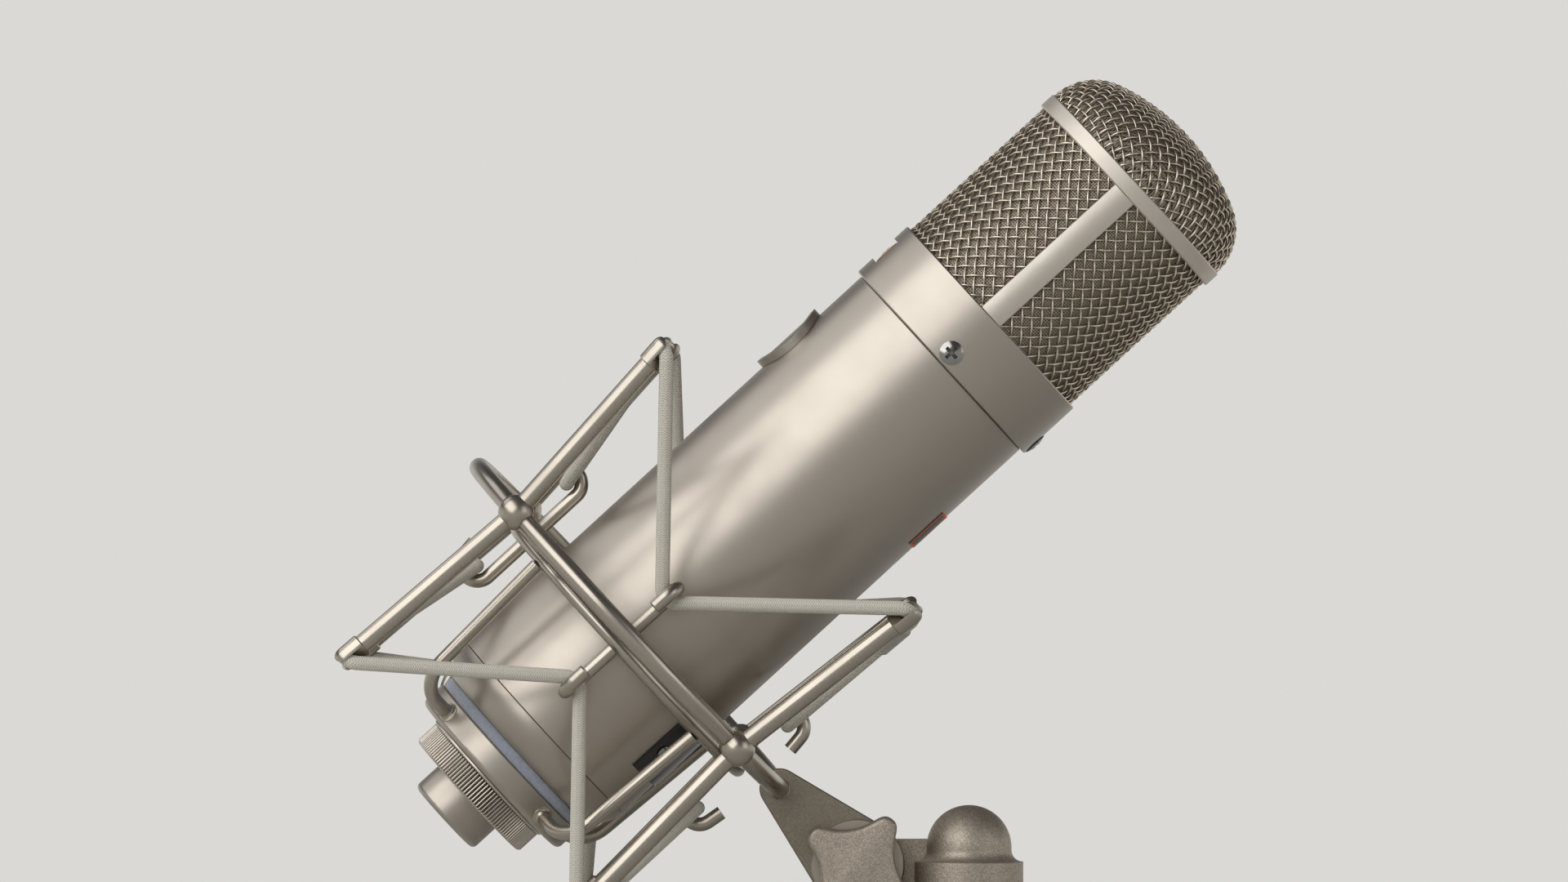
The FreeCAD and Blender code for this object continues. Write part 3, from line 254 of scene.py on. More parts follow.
@dataclass(frozen=True)
class Metal:
    """A bare or plated metal with a fine grain, faint patches and, where asked, painted shade in
    its corners.

    Attributes:
        name: What the metal is and how its surface was made.
        tone: Colour of most of it.
        shade: Colour of the duller patches.
        roughness: Middle roughness.
        spread: How far the roughness goes up and down between patches.
        grain: Distance between the grain's pits, in millimetres.
        depth: Depth of the pits, in millimetres.
        patch: Size of the patches, in millimetres.
        worn: Radius to which its edges are rubbed, in millimetres.
        corner_shade: Reach of the painted shade in its corners, in millimetres; 0 for none.
    """

    name: str
    tone: str
    shade: str
    roughness: float
    spread: float = 0.04
    grain: float = 0.4
    depth: float = 0.003
    patch: float = 14.0
    worn: float = 0.12
    corner_shade: float = 0.0

    def material(self) -> Material:
        """Builds the metal: patches in colour and gloss, fine pits, rubbed edges and painted shade
        in corners.
        """
        graph = Graph.of_material(self.name)
        spot = graph.millimetres()
        patch = graph.add("TexNoise", {"Vector": spot, "Scale": 1 / self.patch, "Detail": 3.0})[0]
        grain = graph.add("TexNoise", {"Vector": spot, "Scale": 1 / self.grain, "Detail": 2.0})[0]
        tone = graph.add("Mix", {0: patch, 6: self.tone, 7: self.shade}, data_type="RGBA")[2]
        # Painted shade: where ambient occlusion finds little open air, the tone darkens towards the
        # shade colour.
        if self.corner_shade:
            width = {"Distance": self.corner_shade * MM}
            air = graph.add("AmbientOcclusion", width, samples=6)["AO"]
            unshaded = graph.add("MapRange", {"Value": air, "From Min": 0.5, "From Max": 0.95})[0]
            tone = graph.add("Mix", {0: unshaded, 6: PAINTED_SHADE, 7: tone}, data_type="RGBA")[2]
        levels = {
            "Value": patch,
            "From Min": 0.3,
            "From Max": 0.7,
            "To Min": self.roughness - self.spread,
            "To Max": self.roughness + self.spread,
        }
        roughness = graph.add("MapRange", levels)[0]
        pitted = {"Height": grain, "Distance": self.depth * MM}
        if self.worn:
            pitted["Normal"] = graph.add("Bevel", {"Radius": self.worn * MM}, samples=4)[0]
        pits = graph.add("Bump", pitted)[0]
        return graph.shader(Base_Color=tone, Metallic=1.0, Roughness=roughness, Normal=pits)


@dataclass(frozen=True)
class Coating:
    """A lacquer, plastic or laminate, with a faint unevenness.

    Attributes:
        name: What the material is and how its surface was made.
        tone: Its colour.
        shade: Colour of its darker patches.
        roughness: Its roughness.
        gloss: Weight of a clear coat over it.
        grain: Distance between its bumps, in millimetres.
        depth: Height of its bumps, in millimetres.
        clear: How much light passes through, from 0 to 1.
    """

    name: str
    tone: str
    shade: str
    roughness: float
    gloss: float = 0.0
    grain: float = 0.8
    depth: float = 0.01
    clear: float = 0.0

    def material(self) -> Material:
        """Builds the coating."""
        graph = Graph.of_material(self.name)
        spot = graph.millimetres()
        bumps = graph.add("TexNoise", {"Vector": spot, "Scale": 1 / self.grain, "Detail": 3.0})[0]
        tone = graph.add("Mix", {0: bumps, 6: self.tone, 7: self.shade}, data_type="RGBA")[2]
        normal = graph.add("Bump", {"Height": bumps, "Distance": self.depth * MM})[0]
        return graph.shader(
            Base_Color=tone,
            Roughness=self.roughness,
            Coat_Weight=self.gloss,
            Coat_Roughness=0.12,
            Transmission_Weight=self.clear,
            Normal=normal,
        )


@dataclass(frozen=True)
class WovenWire:
    """Nickel-plated drawn wire, painted lighter where a crimp stands out, with painted shade where
    it dips.

    It gives the head its regular bright ticks over dark gaps.

    Attributes:
        crest: Colour at the crimps, as painted light where they stand out.
        hollow: Colour in the dips, as painted shade under the crossing wires.
        roughness: Roughness of the drawn wire.
    """

    crest: str = "#E9DDCB"
    hollow: str = "#7F7362"
    roughness: float = 0.32

    def material(self) -> Material:
        """Builds the wire's material, which reads the piece's crest attribute to paint light and
        shade.
        """
        graph = Graph.of_material("nickel_plated_woven_wire")
        high = graph.add("Attribute", attribute_name=CREST)["Fac"]
        level = graph.add("MapRange", {"Value": high, "From Min": 0.25, "From Max": 0.85})[0]
        spot = graph.millimetres()
        drawn = graph.add("TexNoise", {"Vector": spot, "Scale": 1.6, "Detail": 2.0})[0]
        # Painted light and shade: lighter on the crimps that stand out, darker where a wire dips
        # under another.
        tone = graph.add("Mix", {0: level, 6: self.hollow, 7: self.crest}, data_type="RGBA")[2]
        normal = graph.add("Bump", {"Height": drawn, "Distance": 0.01 * MM})[0]
        return graph.shader(Base_Color=tone, Metallic=1.0, Roughness=self.roughness, Normal=normal)


@dataclass(frozen=True)
class FineMesh:
    """Fine woven gauze behind the coarse wire: a soft grey-brown ground, finely dotted.

    The real threads are 0.36 mm apart, which would blur, so they are drawn 0.6 mm apart. The dark
    between and under the threads is painted shade for the shaded inside seen through the openings.

    Attributes:
        place: Frame with z along the microphone.
        radius: Radius of the gauze tube.
        dome_foot: Height where the tube ends and the dome starts.
        pitch: Distance between threads.
        lift: How much a thread rises where it crosses over another, as a share of its height.
        thread: Colour of the threads.
        hole: Colour between them, as painted shade for the dark inside seen through the openings.
    """

    place: Place
    radius: float
    dome_foot: float
    pitch: float = 0.6
    lift: float = 0.25
    thread: str = "#B6A996"
    hole: str = "#1D1915"

    def material(self) -> Material:
        """Builds the gauze: threads round and along the tube, a flat grid over the dome."""
        graph = Graph.of_material("tarnished_wire_gauze")
        spot = graph.millimetres(self.place)
        x, y, z = graph.add("SeparateXYZ", {0: spot})
        angle = graph.add("Math", {0: x, 1: y}, operation="ARCTAN2")[0]
        round_tube = graph.add("Math", {0: angle, 1: self.radius}, operation="MULTIPLY")[0]
        tube = graph.add("CombineXYZ", {0: round_tube, 1: z})[0]
        above = graph.add("Math", {0: z, 1: self.dome_foot}, operation="GREATER_THAN")[0]
        flat = graph.add("Mix", {0: above, 4: tube, 5: spot}, data_type="VECTOR")[1]
        grid = {0: flat, 1: (math.pi / self.pitch,) * 3}
        scaled = graph.add("VectorMath", grid, operation="MULTIPLY")[0]
        waves = graph.add("VectorMath", {0: scaled}, operation="SINE")[0]
        u, v, _ = graph.add("SeparateXYZ", {0: waves})
        over = graph.add("Math", {0: u, 1: v}, operation="MULTIPLY")[0]
        turn = graph.add("Math", {0: over}, operation="SIGN")[0]
        threads = []
        for wave, lift in ((u, self.lift), (v, -self.lift)):
            level = graph.add("Math", {0: wave}, operation="ABSOLUTE")[0]
            raised = {0: turn, 1: lift, 2: level}
            threads.append(graph.add("Math", raised, operation="MULTIPLY_ADD")[0])
        height = graph.add("Math", dict(enumerate(threads)), operation="MAXIMUM")[0]
        # Painted shade: darker towards the openings and where a thread passes under another.
        lit_share = graph.add("MapRange", {"Value": height, "From Min": 0.6, "From Max": 1.05})[0]
        tone = graph.add("Mix", {0: lit_share, 6: self.hole, 7: self.thread}, data_type="RGBA")[2]
        normal = graph.add("Bump", {"Height": height, "Distance": 0.1 * MM})[0]
        return graph.shader(Base_Color=tone, Metallic=0.6, Roughness=0.5, Normal=normal)


@dataclass(frozen=True)
class Braid:
    """Woven cotton sheath of an elastic cord: pale, matt, with small slanted stitches.

    The piece's own map runs in millimetres along the cord and in stitch columns round it. The real
    stitches are 0.54 mm apart, drawn coarser so that they show.

    Attributes:
        pitch: Distance between stitches along the cord, in millimetres.
        slant: How far a stitch runs along the cord from a column's middle to its edge, in pitches.
        swell: How much higher a column's middle stands than its edge.
        fuzz: How much loose fibre blurs the stitches' colour.
        thread: Colour of the stitches.
        shadow: Colour between them.
    """

    pitch: float = 0.62
    slant: float = 1.5
    swell: float = 0.2
    fuzz: float = 0.3
    thread: str = "#E2DDD0"
    shadow: str = "#A8A294"

    def material(self) -> Material:
        """Builds the sheath: slanted stitches that meet in chevrons, column by column."""
        graph = Graph.of_material("woven_elastic_sheath")
        spot = graph.add("UVMap", uv_map=CORD_MAP)[0]
        along, across, _ = graph.add("SeparateXYZ", {0: spot})
        column = graph.add("Math", {0: across}, operation="FRACT")[0]
        middle = graph.add("Math", {0: column, 1: 0.5}, operation="SUBTRACT")[0]
        side = graph.add("Math", {0: middle}, operation="ABSOLUTE")[0]
        steps = graph.add("Math", {0: along, 1: self.pitch}, operation="DIVIDE")[0]
        slant = graph.add("Math", {0: side, 1: self.slant, 2: steps}, operation="MULTIPLY_ADD")[0]
        wave = graph.add("Math", {0: slant, 1: math.pi}, operation="MULTIPLY")[0]
        sine = graph.add("Math", {0: wave}, operation="SINE")[0]
        stitch = graph.add("Math", {0: sine}, operation="ABSOLUTE")[0]
        round_off = graph.add("MapRange", {"Value": side, "From Min": 0.5, "From Max": 0.3})[0]
        swollen = {0: round_off, 1: self.swell, 2: stitch}
        height = graph.add("Math", swollen, operation="MULTIPLY_ADD")[0]
        tangle = {"Vector": graph.millimetres(), "Scale": 4.0, "Detail": 2.0}
        fibres = {0: graph.add("TexNoise", tangle)[0], 1: self.fuzz, 2: height}
        mixed = graph.add("Math", fibres, operation="MULTIPLY_ADD")[0]
        level = graph.add("MapRange", {"Value": mixed, "From Min": 0.1, "From Max": 1.3})[0]
        tone = graph.add("Mix", {0: level, 6: self.shadow, 7: self.thread}, data_type="RGBA")[2]
        normal = graph.add("Bump", {"Height": height, "Distance": 0.09 * MM})[0]
        return graph.shader(Base_Color=tone, Roughness=0.85, Sheen_Weight=0.25, Normal=normal)


@dataclass(frozen=True)
class PressedFelt:
    """Pressed wool felt: pale blue-grey, matt and fuzzy.

    Attributes:
        tone: Colour of the wool.
        shade: Colour in its hollows.
    """

    tone: str = "#C6CBD8"
    shade: str = "#9BA1B3"

    def material(self) -> Material:
        """Builds the felt from two sizes of fibre tangle."""
        graph = Graph.of_material("pressed_wool_felt")
        spot = graph.millimetres()
        tangle = {"Vector": spot, "Scale": 1.1, "Detail": 6.0, "Roughness": 0.7}
        fibre = {"Vector": spot, "Scale": 5.0, "Detail": 3.0, "Distortion": 1.5}
        sizes = [graph.add("TexNoise", size)[0] for size in (tangle, fibre)]
        both = graph.add("Math", dict(enumerate(sizes)), operation="MULTIPLY")[0]
        level = graph.add("MapRange", {"Value": both, "From Min": 0.12, "From Max": 0.4})[0]
        tone = graph.add("Mix", {0: level, 6: self.shade, 7: self.tone}, data_type="RGBA")[2]
        normal = graph.add("Bump", {"Height": both, "Distance": 0.5 * MM})[0]
        return graph.shader(Base_Color=tone, Roughness=0.95, Sheen_Weight=0.6, Normal=normal)


@dataclass(frozen=True)
class Speckled:
    """Blasted zinc casting under satin nickel: a soft metal sheen with a fine sparkle.

    Attributes:
        name: What the casting is and how its surface was made.
        tone: Colour of the plating.
        flake: Colour of the grains that catch the light.
        size: Size of a grain; real ones are 0.1 mm, drawn larger so that they show.
        tilt: How far the grains lean, as a height in millimetres.
        own: Share of a grain's own height in that; the rest is a slow swell.
    """

    name: str
    tone: str
    flake: str
    size: float = 0.24
    tilt: float = 0.02
    own: float = 0.4

    def material(self) -> Material:
        """Builds the casting: each grain has its own brightness and its own tilt."""
        graph = Graph.of_material(self.name)
        spot = graph.millimetres()
        cells = graph.add("TexVoronoi", {"Vector": spot, "Scale": 1 / self.size})
        bright, height, _ = graph.add("SeparateColor", {0: cells["Color"]})
        swell = graph.add("TexNoise", {"Vector": spot, "Scale": 0.9, "Detail": 2.0})[0]
        tone = graph.add("Mix", {0: bright, 6: self.tone, 7: self.flake}, data_type="RGBA")[2]
        tilt = graph.add("Math", {0: height, 1: self.own, 2: swell}, operation="MULTIPLY_ADD")[0]
        edge = graph.add("Bevel", {"Radius": 0.5 * MM}, samples=4)[0]
        lean = {"Height": tilt, "Distance": self.tilt * MM, "Normal": edge}
        normal = graph.add("Bump", lean)[0]
        return graph.shader(Base_Color=tone, Metallic=0.92, Roughness=0.52, Normal=normal)


@dataclass(frozen=True)
class DottedLacquer:
    """Amber lacquer with a white dot in its middle, for the pattern selector.

    Attributes:
        place: Frame at the selector, with z along its spindle.
        dot: Radius of the dot, in millimetres.
        tone: Colour of the lacquer.
        mark: Colour of the dot.
    """

    place: Place
    dot: float = 1.3
    tone: str = "#B2762C"
    mark: str = "#E9E4D8"

    def material(self) -> Material:
        """Builds the lacquer, with the dot masked by the distance from the spindle."""
        graph = Graph.of_material("amber_lacquer_with_dot")
        spot = graph.millimetres(self.place)
        flat = graph.add("VectorMath", {0: spot, 1: X + Y}, operation="MULTIPLY")[0]
        away = graph.add("VectorMath", {0: flat}, operation="LENGTH")["Value"]
        inside = graph.add("Math", {0: away, 1: self.dot}, operation="LESS_THAN")[0]
        tone = graph.add("Mix", {0: inside, 6: self.tone, 7: self.mark}, data_type="RGBA")[2]
        ripple = graph.add("TexNoise", {"Vector": spot, "Scale": 0.8})[0]
        normal = graph.add("Bump", {"Height": ripple, "Distance": 0.02 * MM})[0]
        return graph.shader(Base_Color=tone, Roughness=0.3, Coat_Weight=0.6, Normal=normal)


@dataclass(frozen=True)
class OutlinedInlay:
    """Dull nickel plate with two engraved frames filled with orange enamel.

    Attributes:
        place: Frame with z along the microphone.
        centre: Height of the plate's middle.
        half: Half its width and half its height.
        inner: Half the width of the inner frame.
        line: Width of a line of enamel.
        plate: Colour of the plate.
        enamel: Colour of the enamel.
    """

    place: Place
    centre: float
    half: tuple[float, float]
    inner: float = 3.9
    line: float = 0.6
    plate: str = "#6A6256"
    enamel: str = "#EE5A1A"

    def material(self) -> Material:
        """Builds the plate: both frames are measured inwards from their edges."""
        graph = Graph.of_material("nickel_with_orange_enamel_lines")
        spot = graph.millimetres(self.place)
        _, y, z = graph.add("SeparateXYZ", {0: spot})
        rise = graph.add("Math", {0: z, 1: self.centre}, operation="SUBTRACT")[0]
        across = graph.add("Math", {0: y}, operation="ABSOLUTE")[0]
        upright = graph.add("Math", {0: rise}, operation="ABSOLUTE")[0]
        to_end = graph.add("Math", {0: self.half[1], 1: upright}, operation="SUBTRACT")[0]
        lines = []
        for wide in (self.half[0], self.inner):
            to_side = graph.add("Math", {0: wide, 1: across}, operation="SUBTRACT")[0]
            inside = graph.add("Math", {0: to_side, 1: to_end}, operation="MINIMUM")[0]
            on_line = {0: inside, 1: self.line / 2, 2: self.line / 2}
            lines.append(graph.add("Math", on_line, operation="COMPARE")[0])
        enamel = graph.add("Math", {0: lines[0], 1: lines[1]}, operation="MAXIMUM")[0]
        tone = graph.add("Mix", {0: enamel, 6: self.plate, 7: self.enamel}, data_type="RGBA")[2]
        metal = graph.add("Math", {0: 1.0, 1: enamel}, operation="SUBTRACT")[0]
        dull = {"Roughness": 0.45, "Specular_IOR_Level": 0.15}
        return graph.shader(Base_Color=tone, Metallic=metal, **dull)


class Finish(Enum):
    """The plain finishes, each used by several parts."""

    # Nickel over fine bead blasting: wide soft highlights in a warm grey, no visible grain.
    SATIN_NICKEL = Metal("satin_nickel_plate", "#BAB2A7", "#B3ABA0", 0.38, spread=0.03, grain=0.3)
    # The same nickel on the band and the struts, painted paler for the light that they catch: wide
    # soft highlights.
    BAND_NICKEL = Metal("band_nickel_painted_paler", "#DAD3C8", "#CDC5B9", 0.5, grain=0.3)
    # Nickel over drawn wire: a tight bright stripe along each rod and a dark flank.
    WIRE_NICKEL = Metal("nickel_plated_rod", "#BCB4A8", "#AEA699", 0.28, depth=0.0006, worn=0.0)
    # The same nickel on the nut's ribs and its washer, painted paler for the light on the ribs,
    # with
    # painted shade in the grooves: fine dark and light stripes.
    KNURLED_NICKEL = Metal("satin_nickel_on_ribs", "#D2CABE", "#C5BDB0", 0.34, worn=0.0, corner_shade=0.45)
    # Polished screw heads with painted shade in their recesses: small sharp glints.
    POLISHED_STEEL = Metal(
        "polished_screw_steel", "#ADABA7", "#97958F", 0.16, spread=0.03, worn=0.06, corner_shade=1.5
    )
    # Turned steel of bolts and rails: cool grey, clean highlights.
    STEEL = Metal("turned_steel", "#B7B6B3", "#A3A19D", 0.25)
    # Milled aluminium of the chassis: pale, slightly dull.
    ALUMINIUM = Metal("milled_aluminium", "#C4C4C2", "#B0B0AE", 0.35)
    # Turned brass of the capsule and pins: yellow, clean highlights.
    BRASS = Metal("turned_brass", "#C9A55B", "#A98545", 0.3)
    # Tinned cans of the transistors: pale, soft mirror.
    CAN = Metal("tinned_steel_can", "#B9B7B0", "#9C9A93", 0.28)
    # Gold sputtered on the diaphragms: a thin warm mirror.
    FILM = Metal("gold_sputtered_film", "#E2C47A", "#CBAA60", 0.15)
    # Varnished stack of laminations: dark, dull and ribbed.
    LAMINATIONS = Metal("varnished_laminations", "#4C4A48", "#35322F", 0.5, grain=0.7, depth=0.03)
    # Black stoved lacquer of the plate: deep and glossy.
    BLACK_LACQUER = Coating("black_stoved_lacquer", "#0D0D0E", "#171718", 0.3, gloss=0.5)
    # Chemically blackened washer of the swivel: near black and dull.
    BLACK_OXIDE = Coating("blackened_washer", "#161617", "#242424", 0.5)
    # Moulded phenolic of insulators: black with a faint grain.
    BLACK_PLASTIC = Coating("moulded_phenolic", "#151516", "#1F1E1E", 0.45)
    # Glass laminate of the circuit board: green under a thin mask.
    BOARD = Coating("glass_laminate", "#2F5238", "#264430", 0.4, gloss=0.3)
    # Dipped resin of the capacitors: mustard, smooth and shiny.
    CAPACITOR = Coating("dipped_capacitor", "#C79A3A", "#B08630", 0.35, gloss=0.4)
    # Shrink sleeve over the cord's joints, aged milky: pale, with soft gloss and a little light
    # through it.
    SLEEVE = Coating("aged_shrink_sleeve", "#CFCDC2", "#BDBBB0", 0.38, grain=1.6, clear=0.12)
    # Blasted zinc casting of the knob and the adapter: warm, soft and finely sparkling.
    CASTING = Speckled("blasted_nickel_casting", "#A39788", "#CFC5B7")
    # Blasted plate of the bracket: the same sparkle, duller and darker.
    BLASTED_PLATE = Speckled("blasted_nickel_plate", "#8F8678", "#A79E90")


# Meshes


def linked(name: str, data: ID) -> Object:
    """Makes an object and adds it to the scene.

    Args:
        name: Name of the object.
        data: The mesh, curve, lamp or camera that it shows.

    Returns:
        The object.
    """
    thing = bpy.data.objects.new(name, data)
    bpy.context.scene.collection.objects.link(thing)
    return thing


def settled(bm: BMesh, name: str) -> Mesh:
    """Settles what bmesh has built into a mesh.

    Args:
        bm: What was built, which is freed.
        name: Name of the mesh.

    Returns:
        The mesh.
    """
    mesh = bpy.data.meshes.new(name)
    bm.to_mesh(mesh)
    bm.free()
    return mesh


def join(whole: BMesh, part: BMesh) -> None:
    """Adds a part to the whole.

    Args:
        whole: What the part is added to.
        part: The part, which is freed.
    """
    held = settled(part, "part")
    whole.from_mesh(held)
    bpy.data.meshes.remove(held)


def only(kind: type, items: Iterable[object]) -> list:
    """The vertices or the edges among what an operator made."""
    return [item for item in items if isinstance(item, kind)]


def put(bm: BMesh, name: str, place: Place, smooth: bool = True) -> Object:
    """Makes an object of a mesh that was built in a frame's millimetres.

    Args:
        bm: The mesh, which is freed.
        name: Name of the piece.
        place: The frame that it was built in.
        smooth: Whether its faces are shaded smooth.

    Returns:
        The object, at the origin, with its place in its mesh.
    """
    bmesh.ops.transform(bm, matrix=place.matrix, verts=bm.verts)
    mesh = settled(bm, name)
    mesh.polygons.foreach_set("use_smooth", [smooth] * len(mesh.polygons))
    return linked(name, mesh)


def meshed(curve: Curve) -> Mesh:
    """Turns a curve into the mesh that it stands for.

    Args:
        curve: The curve, which is removed.

    Returns:
        The mesh.
    """
    holder = linked("wire", curve)
    bpy.context.view_layer.update()
    ready = holder.evaluated_get(bpy.context.evaluated_depsgraph_get())
    mesh = bpy.data.meshes.new_from_object(ready)
    bpy.data.objects.remove(holder)
    bpy.data.curves.remove(curve)
    return mesh


def wires(paths: Iterable[Sequence[Vector]], thick: float, sides: int) -> BMesh:
    """Round wires along lines of points, closed at their ends.

    Args:
        paths: The points of each wire, in millimetres.
        thick: Diameter of the wires.
        sides: Faces round each wire, an even number from 4.

    Returns:
        One mesh of all the wires, whose vertices run wire by wire and ring by ring.
    """
    curve = bpy.data.curves.new("wire", "CURVE")
    curve.dimensions = "3D"
    curve.bevel_depth = thick / 2
    curve.bevel_resolution = sides // 2 - 2
    for points in paths:
        spline = curve.splines.new("POLY")
        spline.points.add(len(points) - 1)
        spline.points.foreach_set("co", [c for point in points for c in (*point, 1.0)])
    mesh = meshed(curve)
    bm = bmesh.new()
    bm.from_mesh(mesh)
    bpy.data.meshes.remove(mesh)
    bmesh.ops.holes_fill(bm, edges=[edge for edge in bm.edges if edge.is_boundary], sides=sides)
    return bm


def spun(section: Sequence[tuple[float, float]], steps: int) -> BMesh:
    """A closed section, given as radius and height, spun into a ring round z.

    Args:
        section: The section's corners in millimetres.
        steps: Faces round the ring.

    Returns:
        The ring's mesh, with its faces outwards.
    """
    bm = bmesh.new()
    verts = [bm.verts.new((radius, 0.0, height)) for radius, height in section]
    edges = [bm.edges.new(pair) for pair in zip(verts, verts[1:] + verts[:1])]
    around = {"axis": Z, "angle": math.tau, "steps": steps}
    bmesh.ops.spin(bm, geom=verts + edges, use_merge=True, **around)
    bmesh.ops.recalc_face_normals(bm, faces=bm.faces)
    return bm


def finish_piece(piece: Object, material: Material, body: str) -> None:
    """Gives a new piece its material and its body, and reports it.

    Args:
        piece: The piece.
        material: Its finish.
        body: Name of the body that carries it.
    """
    piece.data.materials.append(material)
    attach(piece, body)
    LOG.info("%s: %d faces", piece.name, len(piece.data.polygons))


def paint(node: str, material: Material) -> None:
    """Gives a CAD node its finish."""
    for holder in frame["nodes"][node].material_slots:
        holder.material = material


# The woven head


@dataclass(frozen=True)
class DomeForm:
    """The middle surface of the dome's cloth: a flat crown that rolls over a round shoulder.

    Attributes:
        radius: Radius at the foot, in millimetres.
        foot: Height of the foot.
        crown: Radius of the crown's arc.
        shoulder: Radius of the shoulder's arc.
    """

    radius: float
    foot: float
    crown: float
    shoulder: float

    @property
    def offset(self) -> float:
        """Distance of the shoulder's centre from the axis."""
        return self.radius - self.shoulder

    @property
    def lean(self) -> float:
        """Angle from the axis at which the crown passes into the shoulder."""
        return math.asin(self.offset / (self.crown - self.shoulder))

    @property
    def centre(self) -> float:
        """Height of the crown's centre."""
        return self.foot - math.sqrt((self.crown - self.shoulder) ** 2 - self.offset**2)

    @property
    def reach(self) -> float:
        """Length of the surface from its top to its foot."""
        return self.crown * self.lean + self.shoulder * (math.pi / 2 - self.lean)

    def pressed(self, u: float, v: float, swing: float) -> Vector:
        """Where a point of a flat cloth comes to lie when the cloth is pressed over the form.

        Args:
            u: The point's first distance from the cloth's middle.
            v: Its second distance.
            swing: How far it stands outside the cloth's middle surface.

        Returns:
            The point on the dome; distances from the middle hold.
        """
        away = math.hypot(u, v)
        over = away - self.crown * self.lean
        if over <= 0:
            tilt = away / self.crown
            spot = self.crown * Vector((math.sin(tilt), math.cos(tilt)))
            spot.y += self.centre
        else:
            tilt = min(self.lean + over / self.shoulder, math.pi / 2)
            spot = self.shoulder * Vector((math.sin(tilt), math.cos(tilt)))
            spot += Vector((self.offset, self.foot - max(0.0, away - self.reach)))
        spot += swing * Vector((math.sin(tilt), math.cos(tilt)))
        turn = math.atan2(v, u) + math.pi / 4
        return polar(spot.x, turn, spot.y)

    def beyond(self, spot: Vector) -> float:
        """Measures how far a point stands outside the form.

        Args:
            spot: The point, in the form's millimetres.

        Returns:
            The distance, below 0 inside the form.
        """
        radius = spot.xy.length
        if math.atan2(radius, spot.z - self.centre) <= self.lean:
            return math.hypot(radius, spot.z - self.centre) - self.crown
        return math.hypot(radius - self.offset, max(spot.z - self.foot, 0.0)) - self.shoulder


@dataclass
class WovenHead:
    """The head's coarse wire cloth: a tube of crossed helices and a pressed dome.

    Attributes:
        place: Frame with z along the microphone.
        wire: Diameter of a wire.
        crimp: How far a wire swings to each side of the cloth's middle.
        sunk: How far the crimps lie under the grille's outer face.
        helices: Wires each way round the tube.
        tuck: How far the wires run on behind the collar and the band.
        pitch: Distance between the dome's wires.
        crown: Radius of the dome's top.
        shoulder: Radius of the dome's rounded side.
        step: Distance between the points of a wire.
        sides: Faces round a wire.
    """

    place: Place
    wire: float = 0.53
    crimp: float = 0.27
    sunk: float = 0.08
    helices: int = 52
    tuck: float = 0.5
    pitch: float = 2.55
    crown: float = 57.0
    shoulder: float = 15.5
    step: float = 0.6
    sides: int = 6

    @property
    def inset(self) -> float:
        """How far the cloth's middle lies inside the grille's outer face."""
        return self.wire / 2 + self.crimp + self.sunk

    def mark(self, bm: BMesh, beyond: Callable[[Vector], float]) -> BMesh:
        """Stores for the wire's finish how far each vertex stands out, from 0 to 1.

        Args:
            bm: The wires.
            beyond: Gives how far a point stands outside the cloth's middle.

        Returns:
            The same wires.
        """
        crest = bm.verts.layers.float.new(CREST)
        for vertex in bm.verts:
            share = 0.5 + beyond(vertex.co) / (self.wire + 2 * self.crimp)
            vertex[crest] = min(max(share, 0.0), 1.0)
        return bm

    def tube(self) -> BMesh:
        """Weaves the tube: one wire each way, copied round the axis."""
        low, high = self.place.reach("grille_side")
        middle = high.x - self.inset
        spacing = math.pi * middle / self.helices
        start = low.z - self.tuck
        length = high.z + self.tuck - start
        count = round(length / self.step)
        copies = self.helices - 1
        around = {"axis": Z, "angle": math.tau * copies / self.helices, "steps": copies}
        bm = bmesh.new()
        for way in (1, -1):
            points = []
            for index in range(count + 1):
                z = start + length / count * index
                radius = middle + way * self.crimp * math.cos(math.pi * z / spacing)
                points.append(polar(radius, way * z / middle, z))
            one = wires([points], self.wire, self.sides)
            geometry = one.verts[:] + one.edges[:] + one.faces[:]
            bmesh.ops.spin(one, geom=geometry, use_duplicate=True, **around)
            join(bm, one)
        return self.mark(bm, lambda spot: spot.xy.length - middle)

    def cap(self) -> BMesh:
        """Weaves the dome: a flat square cloth, pressed over the dome's form."""
        low, high = self.place.reach("grille_dome")
        radius, crown, shoulder = (r - self.inset for r in (high.x, self.crown, self.shoulder))
        form = DomeForm(radius, low.z, crown, shoulder)
        reach = form.reach + self.tuck
        rows = int(reach / self.pitch)
        paths = []
        for way in (1, -1):
            for row in range(-rows, rows + 1):
                across = (row + 0.5) * self.pitch
                if abs(across) >= reach - self.wire / 2:
                    continue
                half = math.sqrt(reach**2 - across**2)
                count = max(3, round(2 * half / self.step))
                points = []
                for index in range(count + 1):
                    along = -half + 2 * half * index / count
                    phase = math.pi * (along / self.pitch - 0.5)
                    swing = way * self.crimp * math.cos(phase) * (-1) ** row
                    flat = (along, across) if way == 1 else (across, along)
                    points.append(form.pressed(*flat, swing))
                paths.append(points)
        return self.mark(wires(paths, self.wire, self.sides), form.beyond)

    def build(self) -> None:
        """Makes both pieces and the finishes of the head."""
        material = WovenWire().material()
        for name, node, bm in (
            ("side_weave", "grille_side", self.tube()),
            ("dome_weave", "grille_dome", self.cap()),
        ):
            piece = put(bm, name, self.place)
            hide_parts(node)
            finish_piece(piece, material, "microphone")
        _, high = self.place.reach("fine_mesh_liner")
        band, _ = self.place.reach("head_band")
        paint("fine_mesh_liner", FineMesh(self.place, high.x, band.z).material())


